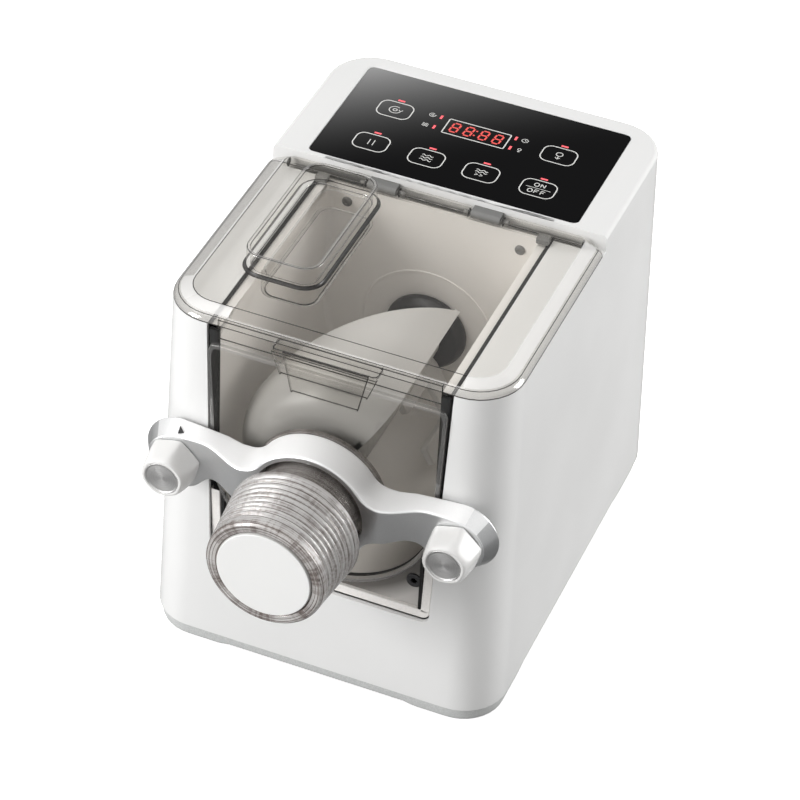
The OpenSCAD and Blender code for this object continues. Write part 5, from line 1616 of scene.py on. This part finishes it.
def lit_red(name, colour, glow):
    """A lamp under tinted glass: its glow changes a little across each lamp."""
    f = Finish(name, colour, 0.25)
    patchy = f.noise(f.spot(), 700.0, 2.0)
    return f.set({"Emission Color": f.mix(patchy.spread(0.3, 0.7), toned(colour, 0.75), colour),
                  "Emission Strength": glow, "Roughness": patchy.spread(0.3, 0.7, 0.2, 0.32)})


ink = grained("print_ink", (0.78, 0.78, 0.76), 0.5, 2500.0, 0.00001, 0.04)
panel_print().make("panel_print", ink, slot="black_glass", weighted=False)
digit_red = lit_red("digit_red", (0.62, 0.06, 0.05), 0.75)
digit_shapes().make("display_digits", digit_red, nodes=("display",), slot="display_red", weighted=False)
lamp_red = lit_red("lamp_red", (0.8, 0.1, 0.12), 0.8)
lamp_shapes().make("key_lamps", lamp_red, slot="display_red", weighted=False)

# %% [markdown]
# ## Base, pads and inlet
# The grey base has a drafted skirt that is raised between its corner feet, so the machine seems to stand on
# four short legs. A rubber pad lies in each. The lead's inlet is in the rear wall.

# %% Base and pads
PAD_X, PAD_Y = 88.5, 118.5
FOOT_X, FOOT_Y = 64.5, 90.5             # the corner feet begin here
SKIRT_LOW, SKIRT_RAISED, SKIRT_TOP = 1.2, 2.6, 10.46


def base_loop(z_part):
    """Outline of the skirt where z_part runs from 0 at its foot to 1 under the casing."""
    inset = np.interp(z_part, [0, 0.25, 1.0], [2.4, 1.8, 1.4])
    w, d = half_w(FOOT_Z) - inset, half_d(FOOT_Z) - inset
    flat = box_loop(-w, w, -d, d, CORNER - inset, 10, (31, 43))
    raised = np.clip((np.array([FOOT_X, FOOT_Y]) - np.abs(flat)) / 4, 0, 1).max(axis=1)
    foot = SKIRT_LOW + (SKIRT_RAISED - SKIRT_LOW) * raised
    return np.column_stack([flat, foot + (SKIRT_TOP - foot) * z_part])


def base_shape():
    """The skirt, and a short flat lip inward at its foot."""
    lip = base_loop(0.0) * [0.965, 0.965, 1]
    loops = [lip] + [base_loop(part) for part in (0.0, 0.06, 0.14, 0.25, 0.5, 0.75, 1.0)]
    return Shape().patch([np.concatenate([loop, loop[:1]]) for loop in loops])


def pad_shape():
    s = Shape()
    for x in (-PAD_X, PAD_X):
        for y in (-PAD_Y, PAD_Y):
            s.tube([at_height(arc((x, y), r, 0, 360, 49)[:-1], z) for r, z in
                    ((10.3, 0.0), (10.85, 0.15), (11.02, 0.6), (11.02, 2.9))])
    return s


base_shape().make("base_skirt", base_grey, slot="grey_base", sharp=40)
pad_shape().make("rubber_pads", rubber_grey, nodes=("pads",), slot="grey_rubber", sharp=50)

# %% Power inlet and hinge lugs
INLET_FACE = 148.3


def inlet_shape():
    """A frame round a recess, whose oval outline is a little flattened at its two ends."""
    centre = np.array([INLET_X, INLET_Z])
    outer = box_loop(-13.4, 13.4, -9.9, 9.9, 2.0, 6, (6, 6))
    a = np.arctan2(outer[:, 1], outer[:, 0])
    bay = np.column_stack([10.2 * np.cos(a) * (1 - 0.1 * np.cos(2 * a)), 5.4 * np.sin(a)])
    return Shape().tube([facing_front(loop + centre, y) for loop, y in
                         ((outer, 133.0), (outer, INLET_FACE - 0.5), (outer * 0.985, INLET_FACE),
                          (bay * 1.02, INLET_FACE), (bay, INLET_FACE - 0.5), (bay, 128.0))])


def inlet_pins():
    s = Shape()
    for x in (INLET_X - 4.3, INLET_X + 4.3):
        line = eased([(1.2, 126.0), (1.2, 145.2), (0.001, 146.0)], (0, 0.6, 0), 4)
        s.patch(turned(line, (x, INLET_Z), 24))
    return s


inlet_shape().make("inlet_socket", charcoal, nodes=("inlet",), slot="dark_plastic", sharp=35)
inlet_pins().make("inlet_pins", turned_steel, slot="steel", sharp=35)


def lug_shape():
    """The deck's two hinge lugs: a block that ends in a round nose about the hinge's axis."""
    s = Shape()
    root, nose = DECK_Y + 0.1, arc(HINGE, RAIL_R, 90, 270, 17)
    side = np.concatenate([[(root, HINGE[1] + RAIL_R)], nose, [(root, HINGE[1] - RAIL_R)]])
    for x in (-LUG_X, LUG_X):
        s.tube([np.column_stack([np.full(len(side), x + k), side]) for k in (-9.5, 9.5)])
    return s


# The lugs belong to the white casing; their dark grey finish is painted shade.
lug_shape().make("hinge_lugs", lug_grey, slot="white_shell", round_=0.3, sharp=40)

# %% [markdown]
# ## Inner solids
# The drive, the boards and the fixings keep their CAD meshes, which no lens sees, and take the finish of
# their material.

# %% Finishes for the CAD solids
fine_steel = grained("fine_steel", (0.5, 0.51, 0.52), 0.3, 3000.0, 0.00002, 0.08, metallic=1.0)
SOLIDS = {
    base_grey: "base", lug_grey: "hinge_pins", bar_metal: "gear_case gear_cover",
    fine_steel: "studs stud_brackets drive_shaft front_bearing rear_bearing mid_axle rotor base_screws",
    gear_nylon: "out_gear mid_gear", motor_enamel: "motor_can", winding: "stator",
    charcoal: "fan motor_cradle", rubber_black: "shaft_seal",
    board_green: "panel_board power_board reed_switch", board_parts: "power_parts",
}
for finish, names in SOLIDS.items():
    for name in names.split():
        mesh = nodes[name].data
        mesh.materials.clear()
        mesh.materials.append(finish.material)
print("CAD solids with a finish:", sum(len(names.split()) for names in SOLIDS.values()))
